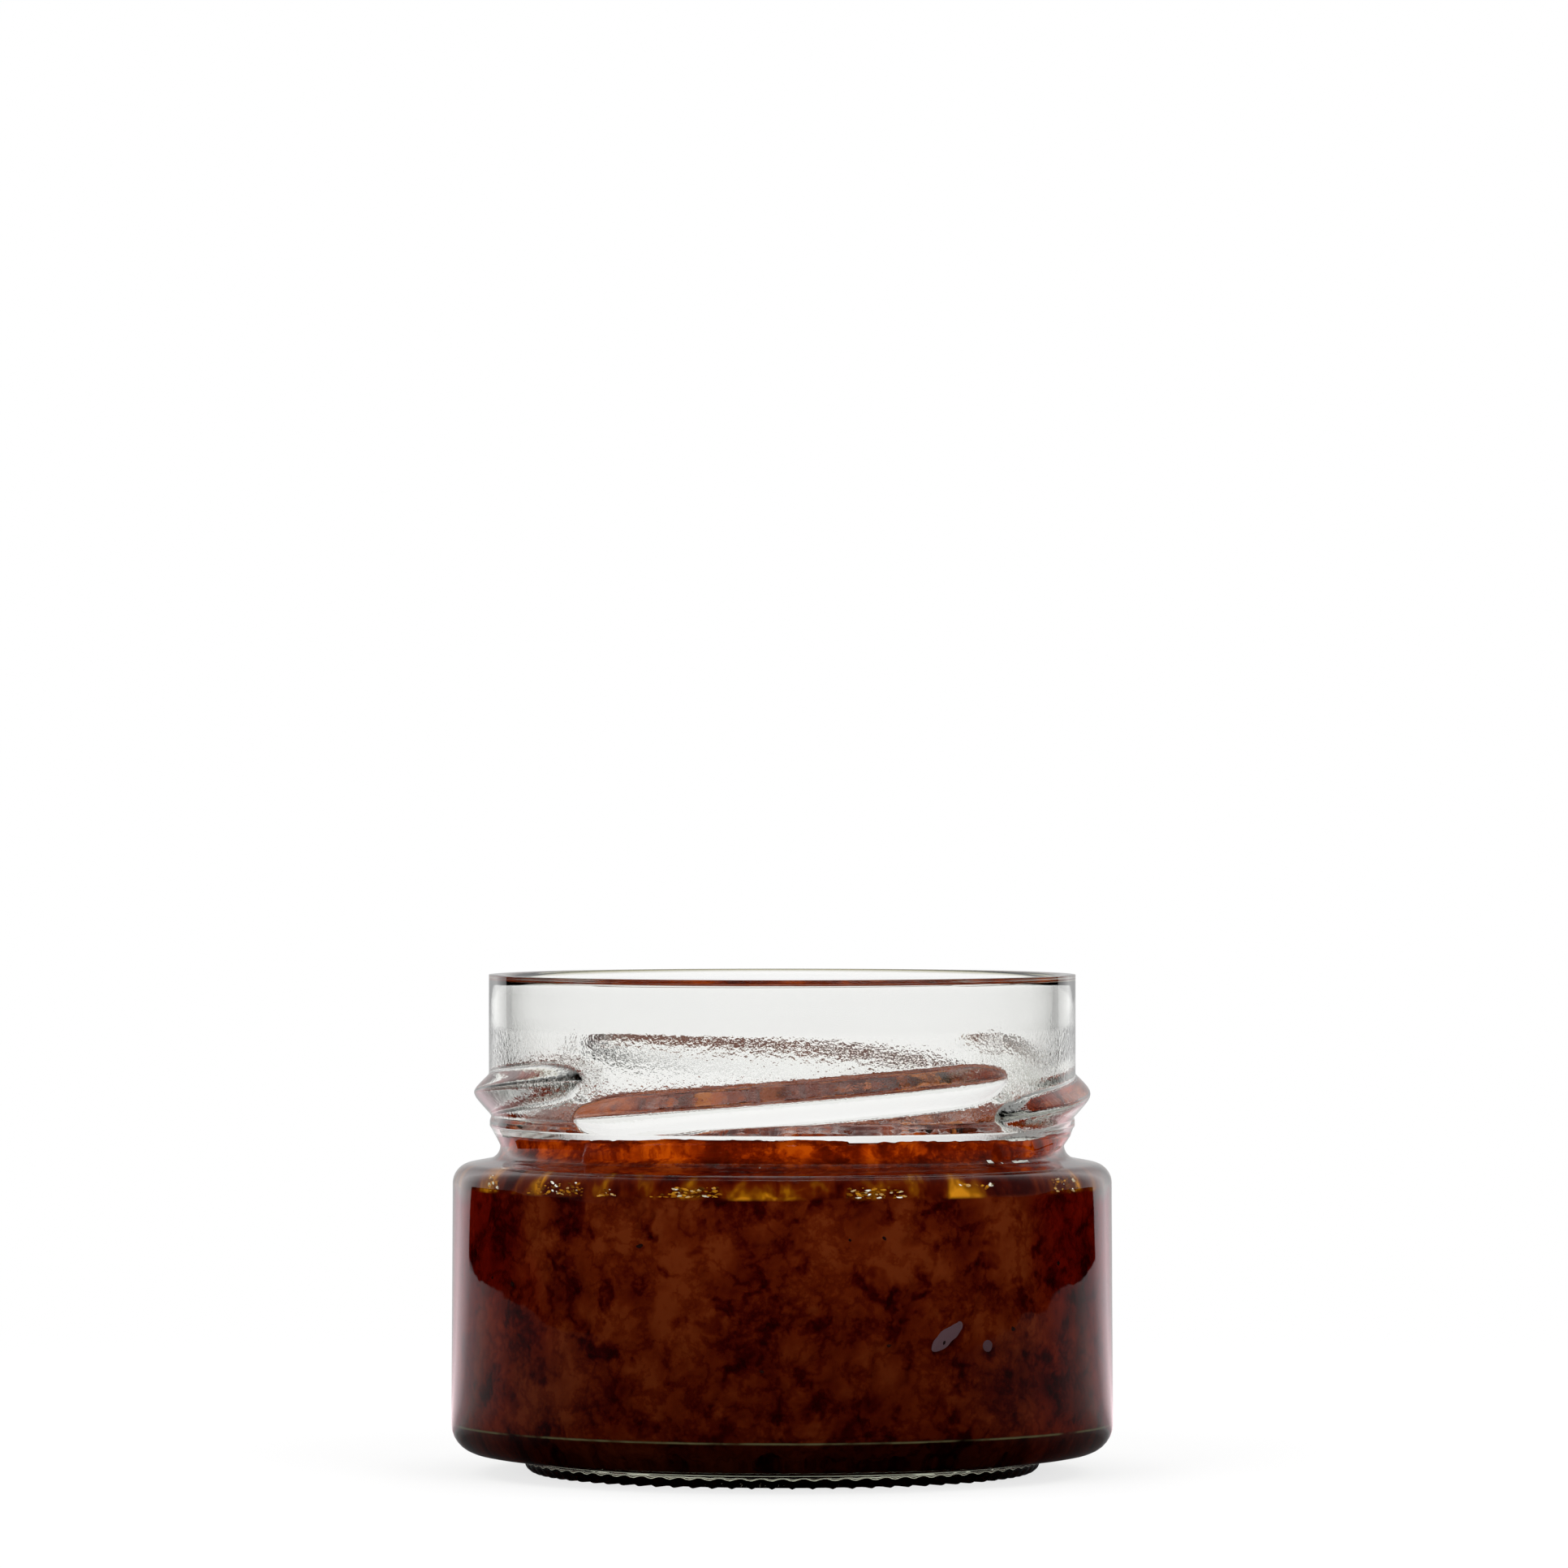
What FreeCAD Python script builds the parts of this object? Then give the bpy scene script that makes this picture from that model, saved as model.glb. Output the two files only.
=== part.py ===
import FreeCAD, Part
import Sketcher

import math
import os

# A squat clear glass jar with a twist-off neck, filled with a chopped oily sauce.
#
# Two solids, in millimetres, +Z up, with the origin at the middle of the standing plane:
#
#   jar    one piece of glass: ring foot, straight body, rounded shoulder, waist, bead, four lugs and open rim
#   sauce  the contents, face to face with the glass from its floor up to an uneven level just under the lugs
#
# Heights of the body are measured up from the standing plane, and heights of the neck down from the rim, as a
# glassworks measures them.

# Every driving size, in millimetres unless its name ends in _deg or _count.
SIZES = {
    "overall_height": 55.9,  # standing plane to the top of the rim
    "finish_radius": 33.0,  # smooth wall of the neck's upper part, outside
    "neck_wall": 2.8,  # thickness of that wall
    "rim_round": 1.3,  # outer edge of the rim
    "mouth_round": 1.15,  # inner edge of the rim
    # Transfer bead and the waist under it.
    "bead_drop": 16.65,  # rim down to the middle of the bead
    "bead_inset": 0.1,  # the bead's crest lies this far inside the finish radius
    "bead_half": 0.35,  # half of the straight crest
    "bead_under": 1.2,  # middle of the bead down to the foot of its lower slope
    "bead_over": 0.8,  # middle of the bead up to the top of its upper slope
    "bead_round": 0.45,
    "groove_inset": 0.32,  # shallow groove between the bead and the lugs
    "groove_run": 2.2,  # middle of the bead up to the end of the groove
    "waist_inset": 1.3,  # the waist lies this far inside the finish radius
    "waist_round": 0.4,  # where the waist meets the bead
    # Shoulder and body.
    "shoulder_drop": 20.5,  # rim down to the shoulder, measured at the waist
    "shoulder_fall": 1.0,  # how far the shoulder falls from the waist to the body
    "shoulder_width": 5.35,  # how far the body stands out from the waist
    "shoulder_round": 2.3,
    "waist_fillet": 1.6,  # where the waist meets the shoulder
    "body_draft": 0.17,  # the body is this much wider at the heel than at the shoulder
    "body_wall": 2.6,
    # Heel and foot.
    "heel_height": 2.5,  # underside of the body at its outer edge
    "heel_round": 3.2,
    "foot_height": 1.8,  # underside of the body at the foot
    "foot_inset": 8.2,  # how far the foot lies inside the body
    "foot_round": 2.0,
    "foot_fillet": 0.35,
    "bearing_width": 3.6,  # from the foot's outside in to the edge of the hollow underside
    "punt_height": 1.6,  # how far the underside domes up in the middle
    # Inside of the jar.
    "floor_height": 5.1,  # standing plane to the inner floor at the wall
    "floor_rise": 0.7,  # how far the inner floor domes up in the middle
    "inner_heel_round": 2.6,
    "inner_shoulder_drop": 19.6,  # rim down to the start of the inner shoulder
    "inner_shoulder_fall": 3.4,  # how far the inner shoulder falls on its way out to the body
    "inner_neck_round": 3.0,
    "inner_shoulder_round": 2.2,
    # Lugs: ramps that rise to the right on the outside of the neck.
    "lug_count": 4,
    "lug_drop": 13.2,  # rim down to the middle of a ramp
    "lug_rise": 4.4,  # from a ramp's low end to its high end
    "lug_span_deg": 93.0,
    "lug_middle_deg": -87.6,  # direction of the front ramp's middle, counter-clockwise from +X
    "lug_height": 1.67,  # how far a ramp stands out from the neck
    "lug_crest_round": 1.0,
    "lug_root": 0.5,  # how deep a ramp reaches into the glass
    "lug_root_half": 2.55,  # half of a ramp's width at that depth, up and down the neck
    "lug_taper_deg": 14.0,  # length of each rounded end
    # Contents.
    "head_space": 16.25,  # rim down to the sauce
    "lump_height": 0.5,  # how far the top of the sauce rises and falls
    "lump_pitch": 11.0,  # distance from one lump to the next
}

SHEET = "Sizes"
ZERO = (None, 0.0)  # a coordinate that lies on an axis

LUG_STATIONS = 13  # sections along one ramp
LUG_TIP_SHARE = 0.45  # size of a ramp's section at its tips, against its middle
LUG_TIP_SINK = 0.5  # share of the root by which the tips dive into the glass

LUMP_CELLS = 18  # spans each way in the surface of the sauce
LUMP_WAVES = (  # strength, turns across and along each lump pitch, and phase of the waves that make the lumps
    (0.48, 1.00, 0.00, 0.6),
    (0.29, 0.47, 0.47, 2.1),
    (0.23, 1.31, -0.79, 2.6),
)

# Radii and heights that several outlines share, each a sum of named sizes.
WAIST = ("finish_radius", "-waist_inset")
SHOULDER = WAIST + ("shoulder_width",)
BODY = SHOULDER + ("body_draft",)
FOOT = BODY + ("-foot_inset",)
INNER_NECK = ("finish_radius", "-neck_wall")
INNER_BODY = SHOULDER + ("-body_wall",)
BEAD = ("overall_height", "-bead_drop")
INNER_SHOULDER = ("overall_height", "-inner_shoulder_drop")


def write_sheet(document):
    """Puts every driving size in the spreadsheet, each under its own alias."""
    sheet = document.addObject("Spreadsheet::Sheet", SHEET)
    for row, (name, number) in enumerate(SIZES.items(), start=1):
        sheet.set(f"A{row}", name)
        sheet.set(f"B{row}", str(number))
        sheet.setAlias(f"B{row}", name)
    document.recompute()


def size(name):
    """The number that the spreadsheet holds under an alias."""
    return float(getattr(FreeCAD.ActiveDocument.getObject(SHEET), name))


def total(*terms):
    """A sum of sizes: the expression that FreeCAD keeps, and what it comes to.

    A term is the name of a size, such a name after a minus, or a pair of a weight and a name.
    """
    words = []
    number = 0.0
    for term in terms:
        if isinstance(term, str):
            term = (-1.0 if term.startswith("-") else 1.0, term.lstrip("-"))
        weight, name = term
        words.append(f"{weight:+.6f} * {SHEET}.{name}")
        number += weight * size(name)
    return " ".join(words), number


def origin_plane(body, role):
    """One of a body's own base planes."""
    return next(feature for feature in body.Origin.OriginFeatures if feature.Role == role)


def upright_sketch(body, name, turn_deg=0.0):
    """An empty sketch in the plane of +Z and the level direction turn_deg, counter-clockwise from +X."""
    sketch = body.newObject("Sketcher::SketchObject", name)
    sketch.AttachmentSupport = [(origin_plane(body, "XZ_Plane"), "")]
    sketch.MapMode = "FlatFace"
    turn = FreeCAD.Rotation(FreeCAD.Vector(0, 1, 0), turn_deg)
    sketch.AttachmentOffset = FreeCAD.Placement(FreeCAD.Vector(0, 0, 0), turn)
    return sketch


def bind(sketch, geometry, point, across, up):
    """Holds a point of a sketch at two distances from the origin, each bound to the spreadsheet."""
    for kind, axis, (expression, number) in (("DistanceX", -2, across), ("DistanceY", -1, up)):
        if expression is None:
            sketch.addConstraint(Sketcher.Constraint("PointOnObject", geometry, point, axis))
            continue
        index = sketch.addConstraint(Sketcher.Constraint(kind, -1, 1, geometry, point, number))
        sketch.setExpression(f"Constraints[{index}]", expression)


def closed_outline(sketch, corners):
    """Draws a closed outline of straight sides, with every corner bound to the spreadsheet."""
    points = [FreeCAD.Vector(across[1], up[1], 0) for across, up in corners]
    for here, there in zip(points, points[1:] + points[:1]):
        sketch.addGeometry(Part.LineSegment(here, there), False)
    for side in range(len(points)):
        following = (side + 1) % len(points)
        sketch.addConstraint(Sketcher.Constraint("Coincident", side, 2, following, 1))
    for side, (across, up) in enumerate(corners):
        bind(sketch, side, 1, across, up)


def revolve(body, name, sketch):
    """Turns a sketch a full turn about +Z."""
    feature = body.newObject("PartDesign::Revolution", name)
    feature.Profile = sketch
    feature.ReferenceAxis = (sketch, ["V_Axis"])
    feature.Angle = 360.0
    body.Document.recompute()


def ring_edge(shape, radius, height, slack=1e-4):
    """The name of the circular edge about +Z with this radius and height."""
    for number, edge in enumerate(shape.Edges, start=1):
        curve = edge.Curve
        if not isinstance(curve, Part.Circle):
            continue
        if abs(curve.Radius - radius) < slack and abs(curve.Center.z - height) < slack:
            return f"Edge{number}"
    raise ValueError(f"no ring of radius {radius:.3f} at height {height:.3f}")


def round_rings(body, radius, corners):
    """Rounds the rings that corners of the outline have become, to a radius in the spreadsheet."""
    base = body.Tip
    rings = [ring_edge(base.Shape, across[1], up[1]) for across, up in corners]
    feature = body.newObject("PartDesign::Fillet", f"{body.Name}_{radius}")
    feature.Base = (base, rings)
    feature.Radius = size(radius)
    feature.setExpression("Radius", f"{SHEET}.{radius}")
    body.Document.recompute()


def outside_corners():
    """The outside of the jar from the middle of its underside round to the rim, as named corners."""
    rim = ("overall_height",)
    return {
        "punt_middle": (ZERO, total("punt_height")),
        "bearing": (total(*FOOT, "-bearing_width"), ZERO),
        "foot": (total(*FOOT), ZERO),
        "foot_top": (total(*FOOT), total("foot_height")),
        "heel": (total(*BODY), total("heel_height")),
        "shoulder": (total(*SHOULDER), total(*rim, "-shoulder_drop", "-shoulder_fall")),
        "waist": (total(*WAIST), total(*rim, "-shoulder_drop")),
        "bead_foot": (total(*WAIST), total(*BEAD, "-bead_under")),
        "bead_low": (total("finish_radius", "-bead_inset"), total(*BEAD, "-bead_half")),
        "bead_high": (total("finish_radius", "-bead_inset"), total(*BEAD, "bead_half")),
        "groove": (total("finish_radius", "-groove_inset"), total(*BEAD, "bead_over")),
        "finish": (total("finish_radius"), total(*BEAD, "groove_run")),
        "rim": (total("finish_radius"), total(*rim)),
    }


def inside_corners():
    """The inside of the jar from the rim down to the middle of its floor, as named corners."""
    return {
        "mouth": (total(*INNER_NECK), total("overall_height")),
        "inner_neck": (total(*INNER_NECK), total(*INNER_SHOULDER)),
        "inner_shoulder": (total(*INNER_BODY), total(*INNER_SHOULDER, "-inner_shoulder_fall")),
        "inner_heel": (total(*INNER_BODY), total("floor_height")),
        "floor_middle": (ZERO, total("floor_height", "floor_rise")),
    }


def round_inside(body, corners):
    """Rounds the inside of the jar, or the contents that lie against it."""
    for corner in ("inner_neck", "inner_shoulder", "inner_heel"):
        round_rings(body, f"{corner}_round", [corners[corner]])


def make_glass(document):
    """The glass without its lugs: one outline turned about +Z, then rounded."""
    glass = document.addObject("PartDesign::Body", "glass")
    corners = {**outside_corners(), **inside_corners()}
    sketch = upright_sketch(glass, "glass_outline")
    closed_outline(sketch, list(corners.values()))
    revolve(glass, "glass_turned", sketch)
    for radius, rings in (
        ("rim_round", ["rim"]),
        ("mouth_round", ["mouth"]),
        ("bead_round", ["bead_low", "bead_high"]),
        ("waist_round", ["bead_foot"]),
        ("waist_fillet", ["waist"]),
        ("shoulder_round", ["shoulder"]),
        ("heel_round", ["heel"]),
        ("foot_fillet", ["foot_top"]),
        ("foot_round", ["foot"]),
    ):
        round_rings(glass, radius, [corners[ring] for ring in rings])
    round_inside(glass, corners)
    return glass


def lug_share(place):
    """How fully a ramp stands out at a place from 0 to 1 along it: 0 at its tips, 1 along its middle."""
    from_tip = min(place, 1.0 - place) * size("lug_span_deg")
    inward = min(1.0, from_tip / size("lug_taper_deg"))
    return math.sqrt(1.0 - (1.0 - inward) ** 2)


def tangent_point(corner, centre, radius, side):
    """Where a line from a corner touches a circle, on its upper side for 1 and its lower side for -1."""
    away = corner - centre
    angle = math.atan2(away.y, away.x) - side * math.acos(radius / away.Length)
    return centre + FreeCAD.Vector(math.cos(angle), math.sin(angle), 0) * radius


def draw_lug_section(sketch, root, levels, centre_across, radius):
    """Draws a rounded triangle: two straight flanks, a round crest, and a root inside the glass."""
    low_up, middle_up, high_up = levels
    centre = FreeCAD.Vector(centre_across[1], middle_up[1], 0)
    low = FreeCAD.Vector(root[1], low_up[1], 0)
    high = FreeCAD.Vector(root[1], high_up[1], 0)
    touches = [tangent_point(low, centre, radius[1], -1), tangent_point(high, centre, radius[1], 1)]
    angles = [math.atan2(point.y - centre.y, point.x - centre.x) for point in touches]
    circle = Part.Circle(centre, FreeCAD.Vector(0, 0, 1), radius[1])
    sketch.addGeometry(Part.LineSegment(low, touches[0]), False)
    sketch.addGeometry(Part.ArcOfCircle(circle, *angles), False)
    sketch.addGeometry(Part.LineSegment(touches[1], high), False)
    sketch.addGeometry(Part.LineSegment(high, low), False)
    sketch.addConstraint(Sketcher.Constraint("Tangent", 0, 2, 1, 1))
    sketch.addConstraint(Sketcher.Constraint("Tangent", 1, 2, 2, 1))
    sketch.addConstraint(Sketcher.Constraint("Coincident", 2, 2, 3, 1))
    sketch.addConstraint(Sketcher.Constraint("Coincident", 3, 2, 0, 1))
    bind(sketch, 0, 1, root, low_up)
    bind(sketch, 3, 1, root, high_up)
    bind(sketch, 1, 3, centre_across, middle_up)
    index = sketch.addConstraint(Sketcher.Constraint("Radius", 1, radius[1]))
    sketch.setExpression(f"Constraints[{index}]", radius[0])


def lug_section(body, station):
    """The section of a ramp at one of its stations, counted from its low end."""
    place = station / (LUG_STATIONS - 1)
    share = lug_share(place)
    fullness = LUG_TIP_SHARE + (1.0 - LUG_TIP_SHARE) * share
    sink = LUG_TIP_SINK * (1.0 - share)
    level = ("overall_height", "-lug_drop", (place - 0.5, "lug_rise"))
    sketch = upright_sketch(
        body, f"lug_section_{station}", size("lug_middle_deg") + size("lug_span_deg") * (place - 0.5)
    )
    draw_lug_section(
        sketch,
        root=total("finish_radius", "-lug_root"),
        levels=(
            total(*level, (-fullness, "lug_root_half")),
            total(*level),
            total(*level, (fullness, "lug_root_half")),
        ),
        centre_across=total(
            "finish_radius", (share, "lug_height"), (-sink, "lug_root"), (-fullness, "lug_crest_round")
        ),
        radius=total((fullness, "lug_crest_round")),
    )
    return sketch


def make_lugs(document):
    """The ramps: one lofted through its sections, and a link to it for each further place round the neck."""
    first = document.addObject("PartDesign::Body", "lug_1")
    sections = [lug_section(first, station) for station in range(LUG_STATIONS)]
    document.recompute()
    loft = first.newObject("PartDesign::AdditiveLoft", "lug_loft")
    loft.Profile = sections[0]
    loft.Sections = sections[1:]
    document.recompute()
    lugs = [first]
    for number in range(1, round(size("lug_count"))):
        lug = document.addObject("App::Link", f"lug_{number + 1}")
        lug.LinkedObject = first
        lug.LinkTransform = True
        lug.Placement.Rotation = FreeCAD.Rotation(FreeCAD.Vector(0, 0, 1), 0)
        lug.setExpression("Placement.Rotation.Angle", f"{number} * 360 / {SHEET}.lug_count")
        lugs.append(lug)
    document.recompute()
    return lugs


def make_jar(document):
    """The finished jar: the turned glass and its ramps as one solid."""
    jar = document.addObject("Part::MultiFuse", "jar")
    jar.Shapes = [make_glass(document)] + make_lugs(document)
    document.recompute()
    return jar


def sauce_level(across, along):
    """Height of the top of the sauce at a place, from crossing waves about its mean level."""
    waves = 0.0
    for strength, turns_across, turns_along, phase in LUMP_WAVES:
        turns = (turns_across * across + turns_along * along) / size("lump_pitch")
        waves += strength * math.sin(2 * math.pi * turns + phase)
    return size("overall_height") - size("head_space") + size("lump_height") * waves


def make_level_block(document):
    """A block wider than the jar whose top is the uneven surface of the sauce."""
    reach = size("finish_radius") + size("shoulder_width") + size("body_wall")
    steps = [2 * reach * cell / LUMP_CELLS - reach for cell in range(LUMP_CELLS + 1)]
    grid = [[FreeCAD.Vector(x, y, sauce_level(x, y)) for y in steps] for x in steps]
    surface = Part.BSplineSurface()
    surface.interpolate(grid)
    block = document.addObject("Part::Feature", "level_block")
    block.Shape = surface.toShape().extrude(FreeCAD.Vector(0, 0, -size("overall_height")))
    block.Placement = FreeCAD.Placement()
    return block


def make_sauce(document):
    """The contents: the inside of the jar up to the uneven level."""
    filling = document.addObject("PartDesign::Body", "filling")
    corners = inside_corners()
    sketch = upright_sketch(filling, "filling_outline")
    closed_outline(sketch, list(corners.values()) + [(ZERO, corners["mouth"][1])])
    revolve(filling, "filling_turned", sketch)
    round_inside(filling, corners)
    sauce = document.addObject("Part::Common", "sauce")
    sauce.Base = filling
    sauce.Tool = make_level_block(document)
    document.recompute()
    return sauce


def check(document, pieces):
    """Stops the build at a failed feature or a bad solid."""
    for item in document.Objects:
        if "Invalid" in item.State or "Error" in item.State:
            raise RuntimeError(f"{item.Name} failed: {item.State}")
    for name, piece in pieces.items():
        shape = piece.Shape
        if shape.isNull() or not shape.isValid() or len(shape.Solids) != 1:
            raise RuntimeError(f"{name} is not one valid solid")


def main():
    """Builds the document and writes one STEP file for each piece."""
    document = FreeCAD.newDocument("filled_jar")
    write_sheet(document)
    pieces = {"jar": make_jar(document), "sauce": make_sauce(document)}
    for name, piece in pieces.items():
        piece.Label = name
    document.recompute()
    check(document, pieces)
    os.makedirs("parts", exist_ok=True)
    for name, piece in pieces.items():
        piece.Shape.exportStep(f"parts/{name}.step")
        print(f"{name}: {piece.Shape.Volume / 1000:.2f} ml")


main()
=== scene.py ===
"""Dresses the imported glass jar: clear moulded glass, a chopped oily sauce, and a plain pale studio.

Everything is in metres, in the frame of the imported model: +Z up, with the origin in the middle of the
standing plane. Heights of the body are measured up from that plane, drops of the neck down from the rim.
"""

import logging
import math
from dataclasses import dataclass, replace
from enum import Enum
from typing import ClassVar, Sequence, Union

import bpy
from mathutils import Matrix, Vector


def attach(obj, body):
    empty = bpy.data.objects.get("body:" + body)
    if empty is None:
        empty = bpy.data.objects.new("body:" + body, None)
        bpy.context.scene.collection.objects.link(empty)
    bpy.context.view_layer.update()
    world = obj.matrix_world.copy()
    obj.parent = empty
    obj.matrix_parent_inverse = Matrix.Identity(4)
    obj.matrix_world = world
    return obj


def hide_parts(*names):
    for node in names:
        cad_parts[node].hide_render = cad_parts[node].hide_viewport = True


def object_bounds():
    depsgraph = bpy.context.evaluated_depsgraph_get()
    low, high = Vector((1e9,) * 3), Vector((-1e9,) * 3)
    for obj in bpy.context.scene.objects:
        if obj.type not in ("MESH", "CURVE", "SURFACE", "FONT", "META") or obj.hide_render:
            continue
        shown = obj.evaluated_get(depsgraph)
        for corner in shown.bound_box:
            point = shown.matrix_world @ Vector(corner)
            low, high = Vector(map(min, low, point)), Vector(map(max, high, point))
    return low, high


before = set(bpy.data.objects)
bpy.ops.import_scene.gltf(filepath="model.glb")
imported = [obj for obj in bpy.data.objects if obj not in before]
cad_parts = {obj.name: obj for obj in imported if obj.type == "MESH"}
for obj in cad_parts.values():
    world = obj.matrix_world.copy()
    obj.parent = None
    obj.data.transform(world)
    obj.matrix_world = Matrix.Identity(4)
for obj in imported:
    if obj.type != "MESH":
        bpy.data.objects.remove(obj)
CAD_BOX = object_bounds()
MM = 0.001
BODY = "root"
SAUCE_DROP = 16.78 * MM

log = logging.getLogger("glass_jar")

Socket = bpy.types.NodeSocket
Feed = Union[Socket, float, int, tuple, bpy.types.Material, None]
Colour = tuple[float, float, float]
Span = tuple[float, float]
WHITE: Colour = (1.0, 1.0, 1.0)


# --------------------------------------------------------------------------------------------------
# Node trees


class Graph:
    """Short calls that build a shader tree or a Geometry Nodes tree."""

    def __init__(self, tree: bpy.types.NodeTree) -> None:
        """Keeps the tree and empties it.

        Args:
            tree: the node tree to build in.
        """
        self.tree = tree
        tree.nodes.clear()

    def feed(self, socket: Socket, value: Feed) -> None:
        """Links an output to a socket, or sets a plain value on it.

        Args:
            socket: the input socket.
            value: another node's output, a plain value, or None to leave the socket alone.
        """
        if value is None:
            return
        if isinstance(value, Socket):
            self.tree.links.new(value, socket)
        else:
            socket.default_value = value

    def add(
        self, kind: str, *values: Feed, named: dict[str, Feed] | None = None, **settings
    ) -> bpy.types.Node:
        """Adds a node.

        Args:
            kind: the node's class name.
            values: what its first inputs take, in order.
            named: what further inputs take, by socket name.
            settings: properties of the node itself.

        Returns:
            The new node.
        """
        node = self.tree.nodes.new(kind)
        for key, setting in settings.items():
            setattr(node, key, setting)
        for socket, value in zip(node.inputs, values):
            self.feed(socket, value)
        for name, value in (named or {}).items():
            self.feed(node.inputs[name], value)
        return node

    def get(self, kind: str, *values: Feed, out: int | str = 0, **settings) -> Socket:
        """Adds a node and returns one of its outputs, by place or name."""
        return self.add(kind, *values, **settings).outputs[out]

    def math(self, operation: str, *values: Feed) -> Socket:
        """The result of a Math node."""
        return self.get("ShaderNodeMath", *values, operation=operation)

    def plus(self, first: Feed, second: Feed) -> Socket:
        """The sum of two numbers."""
        return self.math("ADD", first, second)

    def minus(self, first: Feed, second: Feed) -> Socket:
        """The first number less the second."""
        return self.math("SUBTRACT", first, second)

    def times(self, first: Feed, *others: Feed) -> Socket:
        """The product of two numbers or more."""
        for other in others:
            first = self.math("MULTIPLY", first, other)
        return first

    def vector(self, operation: str, *values: Feed, out: int | str = 0) -> Socket:
        """The result of a Vector Math node."""
        return self.get("ShaderNodeVectorMath", *values, operation=operation, out=out)

    def scaled(self, vector: Feed, factor: Feed) -> Socket:
        """A vector times a number."""
        return self.get("ShaderNodeVectorMath", vector, operation="SCALE", named={"Scale": factor})

    def flat(self, place: Feed) -> Socket:
        """A place or direction without its height."""
        return self.vector("MULTIPLY", place, (1.0, 1.0, 0.0))

    def fade(self, value: Feed, low: Feed, high: Feed, start: Feed = 0.0, end: Feed = 1.0) -> Socket:
        """A smooth change from start to end while value goes from low to high, and level beyond them.

        Args:
            value: the number that drives the change.
            low: where the change starts.
            high: where it ends.
            start: the result at and before low.
            end: the result at and after high.

        Returns:
            The output that holds the result.
        """
        return self.get(
            "ShaderNodeMapRange", value, low, high, start, end, interpolation_type="SMOOTHSTEP"
        )

    def band(self, value: Feed, low: float, high: float, edge: float) -> Socket:
        """1 while value lies between low and high, with soft edges of the given width."""
        rise = self.fade(value, low - edge, low + edge)
        fall = self.fade(value, high - edge, high + edge, 1.0, 0.0)
        return self.times(rise, fall)

    def noise(
        self, place: Feed, size: float, detail: float = 2.0, roughness: float = 0.5, distortion: float = 0.0
    ) -> Socket:
        """Fractal noise from about 0 to 1.

        Args:
            place: the coordinates, in metres.
            size: width of its largest blotches, in metres.
            detail: how many finer layers it adds.
            roughness: how strong those layers are.
            distortion: how far it swirls.

        Returns:
            The output that holds the noise.
        """
        return self.get("ShaderNodeTexNoise", place, out=0, named={
            "Scale": 1.0 / size, "Detail": detail, "Roughness": roughness, "Distortion": distortion,
        })

    def blend(self, factor: Feed, first: Feed, second: Feed, how: str = "MIX") -> Socket:
        """Two colours put together.

        Args:
            factor: how much of the second one counts, from 0 to 1.
            first: the colour at 0.
            second: the colour that joins it.
            how: the way in which they mix.

        Returns:
            The output that holds the colour.
        """
        node = self.add("ShaderNodeMix", factor, data_type="RGBA", blend_type=how)
        self.feed(node.inputs[6], opaque(first))
        self.feed(node.inputs[7], opaque(second))
        return node.outputs[2]

    def tint(self, colour: Feed, shade: Feed) -> Socket:
        """A colour times another colour or a level."""
        return self.blend(1.0, colour, shade, "MULTIPLY")

    def ramp(self, factor: Feed, stops: Sequence[tuple[float, Colour]]) -> Socket:
        """Colours that run into each other along a factor.

        Args:
            factor: where along the ramp to look, from 0 to 1.
            stops: places along the ramp and their colours, in order.

        Returns:
            The output that holds the colour.
        """
        node = self.add("ShaderNodeValToRGB", factor)
        elements = node.color_ramp.elements
        while len(elements) < len(stops):
            elements.new(1.0)
        for element, (place, colour) in zip(elements, stops):
            element.position = place
            element.color = opaque(colour)
        return node.outputs[0]

    def steps(self, factor: Feed, stops: Sequence[tuple[float, float]]) -> Socket:
        """Grey levels that run into each other along a factor."""
        return self.ramp(factor, [(place, (level, level, level)) for place, level in stops])


def opaque(colour: Feed) -> Feed:
    """A plain colour with its fourth number, or a socket as it is."""
    return (*colour, 1.0) if isinstance(colour, tuple) and len(colour) == 3 else colour


def new_material(name: str) -> tuple[bpy.types.Material, Graph]:
    """A new material, and the graph that builds its nodes."""
    material = bpy.data.materials.new(name)
    material.use_nodes = True
    return material, Graph(material.node_tree)


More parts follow.
